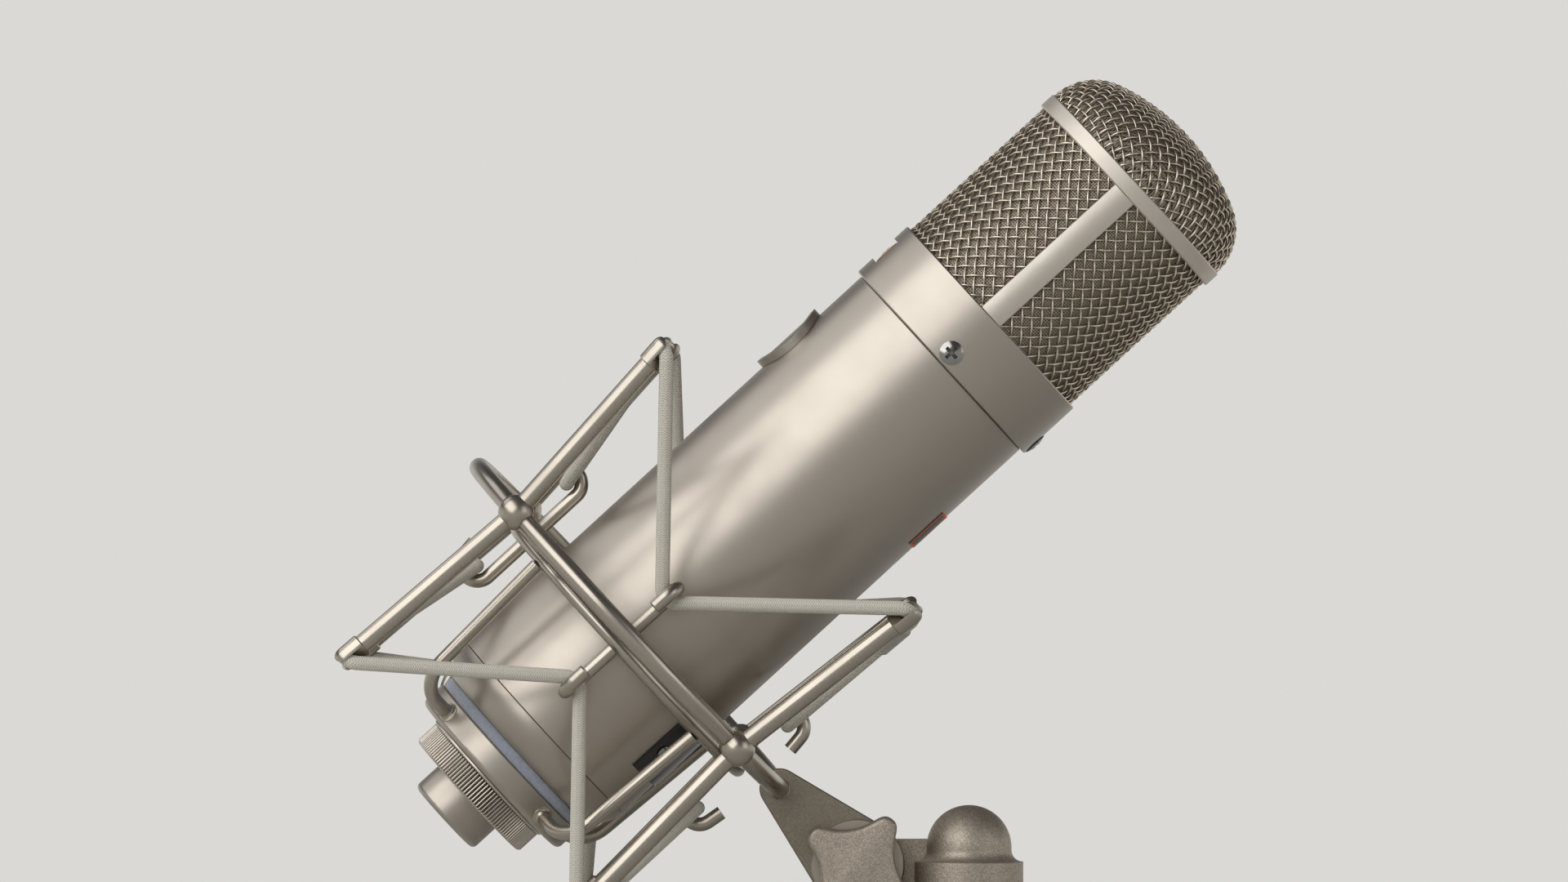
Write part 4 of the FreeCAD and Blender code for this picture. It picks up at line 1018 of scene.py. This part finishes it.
@dataclass
class Struts:
    """The two crowned strips that hold the side grille.

    Attributes:
        place: Frame with z along the microphone.
        crown: How much lower a strip's edges lie than its middle, in millimetres.
        lines: Faces across a strip.
    """

    place: Place
    crown: float = 0.55
    lines: int = 12

    def build(self) -> None:
        """Bends a grid to each strip's crown and gives it the strip's thickness."""
        material = Finish.BAND_NICKEL.value.material()
        for word, way in (("near", -1), ("far", 1)):
            node = f"head_strut_{word}"
            low, high = self.place.reach(node)
            face, back = sorted((low.y, high.y), key=abs, reverse=True)
            bm = bmesh.new()
            bmesh.ops.create_grid(bm, x_segments=self.lines, y_segments=1, size=1.0)
            for vertex in bm.verts:
                across, up, _ = vertex.co
                depth = face - way * self.crown * across**2
                height = low.z + (high.z - low.z) * (up + 1) / 2
                vertex.co = Vector((high.x * across, depth, height))
            made = bmesh.ops.extrude_face_region(bm, geom=bm.faces[:])["geom"]
            for vertex in only(BMVert, made):
                vertex.co.y = back
            bmesh.ops.recalc_face_normals(bm, faces=bm.faces)
            strip = put(bm, f"crowned_strut_{word}", self.place)
            strip.data.set_sharp_from_angle(angle=SHARP)
            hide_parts(node)
            finish_piece(strip, material, "microphone")


# The base


@dataclass
class LockNut:
    """The knurled nut that clamps the cradle's cup under the bell.

    Attributes:
        place: Frame with z along the microphone.
        ribs: Straight ribs round the nut.
        groove: Depth of a groove at each sixth of a rib, from 0 to 1.
        depth: Depth of the grooves, in millimetres.
        chamfer: Height and depth of the lower edge's chamfer.
        break_edge: Height and depth of the upper edge's chamfer.
        face: How far inside the grooves the flat upper face starts, and how much its rim drops.
        bore: Radius of the bore.
    """

    place: Place
    ribs: int = 128
    groove: tuple[float, ...] = (1.0, 0.75, 0.12, 0.0, 0.12, 0.75)
    depth: float = 0.5
    chamfer: float = 0.55
    break_edge: float = 0.15
    face: tuple[float, float] = (0.1, 0.02)
    bore: float = 14.1

    def build(self) -> None:
        """Raises the nut ring by ring; a groove is only as deep as an edge's chamfer leaves it."""
        low, high = self.place.reach("lock_nut")
        outer = high.x
        root = outer - self.depth
        steps = self.ribs * len(self.groove)
        levels = [
            (self.bore, low.z),
            (outer - self.chamfer, low.z),
            (root, low.z + self.chamfer - self.depth),
            (outer - self.depth / 2, low.z + self.chamfer - self.depth / 2),
            (outer, low.z + self.chamfer),
            (outer, high.z - self.break_edge),
            (outer - self.break_edge, high.z - self.face[1]),
            (root - self.face[0], high.z),
            (self.bore, high.z),
        ]
        bm = bmesh.new()
        bmesh.ops.create_circle(bm, segments=steps, radius=1.0)
        ring, edges = list(bm.verts), list(bm.edges)
        for number, (radius, z) in enumerate(levels):
            if number:
                made = bmesh.ops.extrude_edge_only(bm, edges=edges)["geom"]
                ring, edges = only(BMVert, made), only(BMEdge, made)
            for vertex in ring:
                angle = math.atan2(vertex.co.y, vertex.co.x) % math.tau
                sixth = round(angle / math.tau * steps) % len(self.groove)
                reach = min(radius, outer - self.depth * self.groove[sixth])
                vertex.co = polar(reach, angle, z)
        bmesh.ops.bridge_loops(bm, edges=[edge for edge in bm.edges if edge.is_boundary])
        bmesh.ops.recalc_face_normals(bm, faces=bm.faces)
        nut = put(bm, "knurled_nut", self.place, smooth=False)
        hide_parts("lock_nut")
        finish_piece(nut, Finish.KNURLED_NICKEL.value.material(), "lock_nut")


@dataclass
class FeltPad:
    """The felt between the bell and the cradle's cup.

    Attributes:
        place: Frame with z along the microphone.
        inner: Radius of its hole, in millimetres.
        edge: Upper half of the edge's section: steps out from the ring, and shares of its height.
        bulge: How far the squeezed edge stands out.
        ragged: How uneven the cut edge is.
        cut: How far in from the edge the unevenness reaches.
        waves: Waves of the unevenness round the edge, with their phases.
        steps: Steps round the ring.
    """

    place: Place
    inner: float = 15.0
    edge: tuple[tuple[float, float], ...] = ((-1.2, 1.0), (-0.25, 0.95), (0.175, 0.6))
    bulge: float = 0.35
    ragged: float = 0.16
    cut: float = 0.5
    waves: tuple[tuple[int, float], ...] = ((23, 0.0), (41, 1.7), (67, 0.6))
    steps: int = 180

    def build(self) -> None:
        """Spins the pad's section round the axis and roughens its edge."""
        low, high = self.place.reach("felt_ring")
        outer = high.x
        middle = (low.z + high.z) / 2
        half = (high.z - low.z) / 2
        upper = [(self.inner, 1.0), *((outer + step, level) for step, level in self.edge)]
        lower = [(radius, -level) for radius, level in reversed(upper)]
        outline = [*upper, (outer + self.bulge, 0.0), *lower]
        bm = spun([(radius, middle + half * level) for radius, level in outline], self.steps)
        for vertex in bm.verts:
            radius = vertex.co.xy.length
            if radius > outer - self.cut:
                angle = math.atan2(vertex.co.y, vertex.co.x)
                swell = sum(math.sin(count * angle + phase) for count, phase in self.waves)
                vertex.co.xy *= 1 + self.ragged * swell / len(self.waves) / radius
        pad = put(bm, "felt_pad", self.place)
        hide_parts("felt_ring")
        finish_piece(pad, PressedFelt().material(), "cradle")


@dataclass
class Brazing:
    """Braze fillets where the cage wires enter the cup, and beads where the hooks cross the ring.

    Attributes:
        place: Frame at the inner ring, with z along the microphone.
        twist: Angle of the hooks and wires round the axis.
        wire: Radius of a wire.
        fillet: How far a fillet spreads over the wire and the wall.
        sunk: How deep a fillet is rooted in the wall.
        overlap: How deep it is rooted in the wire.
        bead: Half length, width and height of a bead.
        steps: Faces round a fillet.
    """

    place: Place
    twist: float = -4.0
    wire: float = 1.8
    fillet: float = 1.0
    sunk: float = 0.25
    overlap: float = 0.1
    bead: tuple[float, float, float] = (1.1, 2.0, 2.0)
    steps: int = 24

    def fillets(self) -> BMesh:
        """Spins a concave section round each wire's end."""
        low, high = self.place.reach("cradle_cup")
        hollow = [
            (self.wire + self.fillet * (1 - math.sin(turn)), self.fillet * (1 - math.cos(turn)))
            for turn in (math.radians(degrees) for degrees in range(0, 91, 15))
        ]
        root = self.wire - self.overlap
        section = [(root, -self.sunk), (hollow[0][0], -self.sunk), *hollow, (root, self.fillet)]
        whole = bmesh.new()
        for quarter in range(4):
            azimuth = math.radians(quarter * 90 - 45 + self.twist)
            out = Matrix.Rotation(azimuth, 4, "Z") @ Matrix.Rotation(math.pi / 2, 4, "Y")
            foot = Matrix.Translation((low.z + high.z) / 2 * Z) @ out
            self.set_in(whole, spun(section, self.steps), foot @ Matrix.Translation(high.x * Z))
        return whole

    def beads(self) -> BMesh:
        """Lays a flattened bead between each hook's leg and the inner ring, one wire inside it."""
        _, high = self.place.reach("cradle_ring")
        radius = high.x - 3 * self.wire
        whole = bmesh.new()
        for quarter in range(4):
            bead = bmesh.new()
            bmesh.ops.create_uvsphere(bead, u_segments=20, v_segments=12, radius=1.0)
            bmesh.ops.scale(bead, vec=self.bead, verts=bead.verts)
            spoke = Matrix.Rotation(math.radians(quarter * 90 + self.twist), 4, "Z")
            self.set_in(whole, bead, spoke @ Matrix.Translation(radius * X))
        return whole

    @staticmethod
    def set_in(whole: BMesh, part: BMesh, matrix: Matrix) -> None:
        """Moves a part to its place and adds it to the whole."""
        bmesh.ops.transform(part, matrix=matrix, verts=part.verts)
        join(whole, part)

    def build(self) -> None:
        """Makes both sets of joints."""
        material = Finish.WIRE_NICKEL.value.material()
        for name, bm in (("cup_braze", self.fillets()), ("hook_braze", self.beads())):
            finish_piece(put(bm, name, self.place), material, "cradle")


# The elastic cords


class Side(Enum):
    """The two elastic loops: above the outer ring, towards the head, and below it."""

    UPPER = "upper"
    LOWER = "lower"


@dataclass
class ElasticLoops:
    """Two woven cords that zigzag between the arms' tips and the cradle's hooks.

    Attributes:
        cradle: Frame at the inner ring, with z along the microphone.
        droop: Angle by which the microphone hangs below the outer frame's axis.
        ball_radius: Distance of the joint balls from the outer ring's axis.
        arm: Length of an arm up to its tip, by side.
        flare: Angle by which the arms lean outwards, by side.
        below_tip: Distance of the cord's middle from the tip.
        hook_radius: Distance of the hooks' inner bends from the axis.
        hook_height: Height of the cord's middle at a hook, by side.
        first: Directions of the first tip and of the first hook, in degrees.
        twist: Angle of the hooks round the axis.
        tip_bend: Radius of the cord's bend over a tip.
        hook_bend: Radius of its bend in a hook.
        thick: Diameter of the cord.
        columns: Stitch columns round it.
        sides: Faces round it.
        fine: Points to each third of a run's curve.
        rounds: Times that the corners are worked out again, until they settle.
    """

    cradle: Place
    droop: float = 0.6
    ball_radius: float = 58.0
    arm: tuple[float, float] = (59.2, 59.8)
    flare: tuple[float, float] = (7.2, 3.5)
    below_tip: float = 3.0
    hook_radius: float = 42.05
    hook_height: tuple[float, float] = (17.1, -14.1)
    first: tuple[float, float] = (-135.0, -90.0)
    twist: float = -4.0
    tip_bend: float = 3.5
    hook_bend: float = 3.85
    thick: float = 3.7
    columns: int = 9
    sides: int = 16
    fine: int = 14
    rounds: int = 20

    def peaks(self, side: Side) -> list[Vector]:
        """Finds where a loop goes over the arms' tips and through the hooks.

        Args:
            side: Which of the loops.

        Returns:
            The innermost points of its bends, tip and hook in turn, in world millimetres.
        """
        pick = 0 if side is Side.UPPER else 1
        low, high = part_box("outer_ring")
        axis = Matrix.Rotation(-math.radians(self.droop), 3, "Y") @ self.cradle.z
        outer = Place.along((low + high) / 2, axis)
        lean = math.radians(self.flare[pick])
        depth = self.arm[pick] - self.below_tip
        radius = self.ball_radius + depth * math.sin(lean)
        height = (-1) ** pick * depth * math.cos(lean)
        found = []
        for quarter in range(4):
            turn = math.radians(self.first[0] + quarter * 90)
            found.append(outer.matrix @ polar(radius, turn, height) / MM)
            turn = math.radians(self.first[1] + quarter * 90 + self.twist)
            inner = polar(self.hook_radius, turn, self.hook_height[pick])
            found.append(self.cradle.matrix @ inner / MM)
        return found

    def corners(self, peaks: list[Vector]) -> list[Vector]:
        """Finds where the straight runs would meet if the bends were sharp.

        Args:
            peaks: The innermost points of the bends.

        Returns:
            The meeting points, one for each bend.
        """
        corners = list(peaks)
        for _ in range(self.rounds):
            moved = []
            for index, peak in enumerate(peaks):
                bend = self.hook_bend if index % 2 else self.tip_bend
                back = (corners[index - 1] - corners[index]).normalized()
                onward = (corners[(index + 1) % BENDS] - corners[index]).normalized()
                inset = bend / math.sin(back.angle(onward) / 2) - bend
                moved.append(peak - (back + onward).normalized() * inset)
            corners = moved
        return corners

    def line(
        self, peaks: list[Vector], corners: list[Vector], start: int, end: int
    ) -> list[Vector]:
        """The middle line of a run: half a bend, a straight stretch and half a bend.

        Args:
            peaks: The innermost points of the bends.
            corners: Where the runs would meet.
            start: Number of the bend at the tip.
            end: Number of the bend at the hook.

        Returns:
            The line's points in world millimetres.
        """
        ends = []
        for index, other, bend in ((start, end, self.tip_bend), (end, start, self.hook_bend)):
            leaving = (corners[other] - corners[index]).normalized()
            arriving = (corners[(2 * index - other) % BENDS] - corners[index]).normalized()
            half = leaving.angle(arriving) / 2
            touch = corners[index] + leaving * (bend / math.tan(half))
            handle = 4 / 3 * math.tan((math.pi / 2 - half) / 4) * bend
            tangent = (leaving - arriving).normalized() * handle
            ends.append((peaks[index], tangent, touch, leaving, handle))
        third = (ends[1][2] - ends[0][2]).length / 3
        near, far = (
            [
                (peak - tangent, peak, peak + tangent),
                (touch - leaving * handle, touch, touch + leaving * third),
            ]
            for peak, tangent, touch, leaving, handle in ends
        )
        curve = bpy.data.curves.new("run", "CURVE")
        curve.dimensions = "3D"
        curve.resolution_u = self.fine
        spline = curve.splines.new("BEZIER")
        spline.bezier_points.add(3)
        knots = near + [knot[::-1] for knot in reversed(far)]
        for point, (left, middle, right) in zip(spline.bezier_points, knots):
            point.handle_left_type = "FREE"
            point.handle_right_type = "FREE"
            point.co = middle
            point.handle_left = left
            point.handle_right = right
        mesh = meshed(curve)
        points = [vertex.co.copy() for vertex in mesh.vertices]
        bpy.data.meshes.remove(mesh)
        return points

    def run(self, points: list[Vector]) -> BMesh:
        """Makes a woven cord with its cord map.

        Args:
            points: Its middle line.

        Returns:
            The cord's mesh, in the line's millimetres.
        """
        bm = wires([points], self.thick, self.sides)
        lengths = [0.0]
        for one, two in zip(points, points[1:]):
            lengths.append(lengths[-1] + (two - one).length)
        cord_map = bm.loops.layers.uv.new(CORD_MAP)
        bm.verts.index_update()
        for face in bm.faces:
            places = [divmod(loop.vert.index, self.sides) for loop in face.loops]
            steps = [step for _, step in places]
            wraps = max(steps) - min(steps) > 1
            for loop, (ring, step) in zip(face.loops, places):
                share = (step + self.sides * (wraps and step == 0)) / self.sides
                along = lengths[min(ring, len(lengths) - 1)]
                loop[cord_map].uv = (along, share * self.columns)
        return bm

    def build(self) -> None:
        """Makes the sixteen runs between the outer frame and the cradle."""
        material = Braid().material()
        world = Place(Vector(), X, Y, Z)
        for side in Side:
            peaks = self.peaks(side)
            corners = self.corners(peaks)
            first = None
            for tip in range(0, BENDS, 2):
                for letter, way in (("a", -1), ("b", 1)):
                    hook = (tip + way) % BENDS
                    name = f"elastic_{side.value}_run_{tip // 2 + 1}{letter}"
                    run = put(self.run(self.line(peaks, corners, tip, hook)), name, world)
                    run.data.materials.append(material)
                    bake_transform(run)
                    first = first or run
            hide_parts(f"elastic_{side.value}")
            LOG.info("elastic_%s: %d runs", side.value, BENDS)


# The clamp's knob


@dataclass
class StarKnob:
    """The clamp's cast star knob, with full round lobes and a soft rim.

    Attributes:
        outer: Radius over the lobes, in millimetres.
        hollow: Radius of the four hollows round its edge.
        waist: Distance across the knob between two hollows.
        lobe: Direction of a lobe, in degrees up from the frame's x.
        easing: Times that the outline is smoothed, which rounds the lobes.
        rim: Radius of the rounded rims.
        steps: Steps round the outline.
    """

    outer: float = 15.0
    hollow: float = 16.0
    waist: float = 19.2
    lobe: float = 54.0
    easing: int = 16
    rim: float = 1.3
    steps: int = 240

    def outline(self, angle: float) -> float:
        """Measures how far the outline lies from the axis, before it is smoothed.

        Args:
            angle: The direction from the axis.

        Returns:
            The distance, in millimetres.
        """
        quarter = math.pi / 2
        turn = (angle - math.radians(self.lobe)) % quarter - quarter / 2
        centre = self.waist / 2 + self.hollow
        under = self.hollow**2 - (centre * math.sin(turn)) ** 2
        if under < 0:
            return self.outer
        return min(self.outer, centre * math.cos(turn) - math.sqrt(under))

    def build(self) -> None:
        """Shapes a disc to the star, thickens it and rounds its rims."""
        low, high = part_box("clamp_knob")
        across = Place((low + high) / 2, X, Z, -Y)
        low, high = across.reach("clamp_knob")
        bm = bmesh.new()
        bmesh.ops.create_circle(bm, cap_ends=True, segments=self.steps, radius=self.outer)
        for vertex in bm.verts:
            angle = math.atan2(vertex.co.y, vertex.co.x)
            vertex.co = polar(self.outline(angle), angle, low.z)
        flat = {"use_axis_x": True, "use_axis_y": True, "use_axis_z": False}
        for _ in range(self.easing):
            bmesh.ops.smooth_vert(bm, verts=bm.verts, factor=0.5, **flat)
        made = bmesh.ops.extrude_face_region(bm, geom=bm.faces[:])["geom"]
        bmesh.ops.translate(bm, verts=only(BMVert, made), vec=(high.z - low.z) * Z)
        bmesh.ops.recalc_face_normals(bm, faces=bm.faces)
        slopes = ((edge, edge.verts[0].co.z - edge.verts[1].co.z) for edge in bm.edges)
        rims = [edge for edge, slope in slopes if abs(slope) < LEVEL]
        rounded = {"segments": 5, "profile": 0.5, "affect": "EDGES", "material": -1}
        bmesh.ops.bevel(bm, geom=rims, offset=self.rim, **rounded)
        knob = put(bm, "cast_knob", across)
        knob.data.set_sharp_from_angle(angle=SHARP)
        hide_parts("clamp_knob")
        finish_piece(knob, Finish.CASTING.value.material(), "clamp_knob")


# Finishes of the CAD parts


@dataclass
class Dressing:
    """Gives each CAD part that stays its finish.

    Attributes:
        microphone: Frame with z along the microphone.
    """

    microphone: Place

    def shared(self) -> dict[Finish, str]:
        """The parts of each plain finish."""
        arms = " ".join(f"{word}_arm_{n}" for word in ("upper", "lower") for n in range(1, 5))
        return {
            Finish.SATIN_NICKEL: "body_tube base_bell head_collar badge_plate cradle_cup "
            "connector_shell clamp_disc",
            Finish.BAND_NICKEL: "head_band",
            Finish.WIRE_NICKEL: "outer_ring joint_balls cradle_ring hook_rods cage_wires "
            "upper_arm_caps lower_arm_caps " + arms,
            Finish.POLISHED_STEEL: "collar_screws serial_plate_screws",
            Finish.STEEL: "pivot_bolt chassis_rails",
            Finish.ALUMINIUM: "chassis_top_plate chassis_bottom_plate",
            Finish.BRASS: "capsule_backplate capsule_rings connector_pins",
            Finish.CAN: "transistor_cans",
            Finish.FILM: "capsule_diaphragms",
            Finish.LAMINATIONS: "output_transformer",
            Finish.BLACK_LACQUER: "serial_plate",
            Finish.KNURLED_NICKEL: "lock_washer",
            Finish.BLACK_OXIDE: "friction_washer",
            Finish.BLACK_PLASTIC: "connector_insert head_deck capsule_saddle selector_switch",
            Finish.BOARD: "circuit_board",
            Finish.CAPACITOR: "capacitors",
            Finish.SLEEVE: "elastic_sleeves",
            Finish.CASTING: "stand_adapter",
            Finish.BLASTED_PLATE: "bracket_plate",
        }

    def build(self) -> None:
        """Paints every CAD part that shows."""
        for finish, names in self.shared().items():
            material = finish.value.material()
            nodes = names.split()
            for node in nodes:
                paint(node, material)
            LOG.info("%s: %d parts", material.name, len(nodes))
        paint("selector_disc", DottedLacquer(joint_place("selector_turn")).material())
        low, high = self.microphone.reach("rear_inlay")
        half = (high.y, (high.z - low.z) / 2)
        inlay = OutlinedInlay(self.microphone, (low.z + high.z) / 2, half)
        paint("rear_inlay", inlay.material())


# Studio


@dataclass(frozen=True)
class Softbox:
    """A rectangular soft light that faces the object.

    Attributes:
        name: Its name.
        way: Direction from the object to the light.
        away: Distance in metres.
        size: Width and height in metres.
        glow: Radiance of its face.
        roll: Turn about the way that it faces, in degrees.
    """

    name: str
    way: tuple[float, float, float]
    away: float
    size: tuple[float, float]
    glow: float
    roll: float = 0.0

    def hang(self, target: Vector) -> None:
        """Hangs the light where it faces the target.

        Args:
            target: What it shines on, in metres.
        """
        lamp = bpy.data.lights.new(self.name, "AREA")
        lamp.shape = "RECTANGLE"
        lamp.size, lamp.size_y = self.size
        lamp.energy = self.glow * math.pi * self.size[0] * self.size[1]
        holder = linked(self.name, lamp)
        holder.location = target + Vector(self.way).normalized() * self.away
        facing = (target - holder.location).to_track_quat("-Z", "Y")
        roll = Quaternion(Z, math.radians(self.roll))
        holder.rotation_euler = (facing @ roll).to_euler()
        holder.visible_camera = False


@dataclass
class Studio:
    """Plain pale floor, soft light and the camera.

    Attributes:
        floor: Colour of the floor.
        backdrop: Colour of the surroundings behind the object, near the horizon.
        room: Their colour in front of it.
        ceiling: Colour of the surroundings overhead.
        fade: Distances from the object at which the floor starts and ends to take the backdrop's
            colour, in metres.
        extent: Radius of the floor, in metres.
        eye: Where the camera stands, in metres.
        target: What it looks at, in metres.
        lens: Focal length for a 36 mm wide picture, in millimetres.
        lights: The soft lights.
    """

    floor: str = "#D4D3CF"
    backdrop: str = "#DAD9D6"
    room: str = "#B9B9B7"
    ceiling: str = "#555557"
    fade: tuple[float, float] = (0.05, 0.72)
    extent: float = 9.0
    eye: tuple[float, float, float] = (-0.00533, -4.39, 0.15583)
    target: tuple[float, float, float] = (-0.04736, 0.0, 0.13367)
    lens: float = 393.75
    lights: tuple[Softbox, ...] = (
        Softbox("key", (-0.54, -0.6, 0.59), 1.4, (1.9, 1.2), 2.1, roll=-33.0),
        Softbox("top", (-0.62, 0.35, 0.7), 1.3, (0.8, 0.6), 1.0),
        Softbox("fill", (0.9, -0.6, 0.35), 1.6, (0.9, 0.9), 0.8),
    )

    def lay_floor(self) -> None:
        """Lays the floor, which fades to the backdrop's colour away from the object."""
        bm = bmesh.new()
        bmesh.ops.create_circle(bm, cap_ends=True, segments=96, radius=self.extent)
        floor = linked("floor", settled(bm, "floor"))
        graph = Graph.of_material("matt_floor")
        spot = graph.add("TexCoord")["Object"]
        away = graph.add("VectorMath", {0: spot}, operation="LENGTH")["Value"]
        span = {"Value": away, "From Min": self.fade[0], "From Max": self.fade[1]}
        far = graph.add("MapRange", span, interpolation_type="SMOOTHSTEP")[0]
        near = graph.add("BsdfDiffuse", {"Color": self.floor})[0]
        _, depth, _ = graph.add("SeparateXYZ", {0: spot})
        glow = graph.add("Emission", {"Color": self.surroundings(graph, depth)})[0]
        path = graph.add("LightPath")
        seen = path["Is Camera Ray"]
        for ray in ("Is Glossy Ray", "Is Transmission Ray"):
            seen = graph.add("Math", {0: seen, 1: path[ray]}, operation="MAXIMUM")[0]
        share = graph.add("Math", {0: far, 1: seen}, operation="MULTIPLY")[0]
        surface = graph.add("MixShader", {0: share, 1: near, 2: glow})[0]
        graph.add("OutputMaterial", {"Surface": surface})
        floor.data.materials.append(graph.owner)

    def surroundings(self, graph: Graph, depth: NodeSocket) -> NodeSocket:
        """The colour near the horizon: pale behind the object, dimmer in front of it.

        Args:
            graph: The tree that takes the colour.
            depth: How far back a place lies, in metres or as part of a direction.

        Returns:
            The colour's output.
        """
        span = {"Value": depth, "From Min": -0.5, "From Max": 0.3}
        back = graph.add("MapRange", span, interpolation_type="SMOOTHSTEP")[0]
        return graph.add("Mix", {0: back, 6: self.room, 7: self.backdrop}, data_type="RGBA")[2]

    def set_world(self) -> None:
        """Surrounds the object with a pale horizon under a darker ceiling."""
        world = bpy.data.worlds.new("studio")
        bpy.context.scene.world = world
        graph = Graph(world)
        spot = graph.add("TexCoord")["Generated"]
        _, depth, height = graph.add("SeparateXYZ", {0: spot})
        span = {"Value": height, "From Min": 0.1, "From Max": 0.45}
        up = graph.add("MapRange", span, interpolation_type="SMOOTHSTEP")[0]
        colours = {0: up, 6: self.surroundings(graph, depth), 7: self.ceiling}
        tone = graph.add("Mix", colours, data_type="RGBA")[2]
        light = graph.add("Background", {"Color": tone})[0]
        graph.add("OutputWorld", {"Surface": light})

    def set_camera(self) -> None:
        """Sets up the camera at its distant, nearly level viewpoint."""
        view = bpy.data.cameras.new("camera")
        view.lens = self.lens
        view.sensor_width = 36.0
        view.clip_end = 50.0
        holder = linked("camera", view)
        holder.location = self.eye
        looking = Vector(self.target) - Vector(self.eye)
        holder.rotation_euler = looking.to_track_quat("-Z", "Y").to_euler()
        bpy.context.scene.camera = holder

    def build(self) -> None:
        """Lays the floor, hangs the lights and sets up the camera."""
        self.lay_floor()
        self.set_world()
        for light in self.lights:
            light.hang(Vector(self.target))
        self.set_camera()
        bpy.context.scene.view_settings.view_transform = "Standard"


def clear_defaults() -> None:
    """Removes what a new Blender scene starts with."""
    kept = {*frame["nodes"].values(), *frame["bodies"].values()}
    for thing in list(bpy.data.objects):
        if thing not in kept:
            bpy.data.objects.remove(thing)


def corners(box: Iterable[Vector]) -> list[list[float]]:
    """A box as plain lists of numbers."""
    return [list(corner) for corner in box]


def main() -> None:
    """Builds the pieces in order, dresses the CAD parts and lights the scene."""
    logging.basicConfig(level=logging.INFO, format="%(name)s: %(message)s")
    clear_defaults()
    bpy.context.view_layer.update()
    place = joint_place("mic_turn")
    for assembly in (
        WovenHead(place),
        Struts(place),
        LockNut(place),
        FeltPad(place),
        Brazing(place),
        ElasticLoops(place),
        StarKnob(),
        Dressing(place),
        Studio(),
    ):
        assembly.build()


if __name__ == "__main__":
    main()
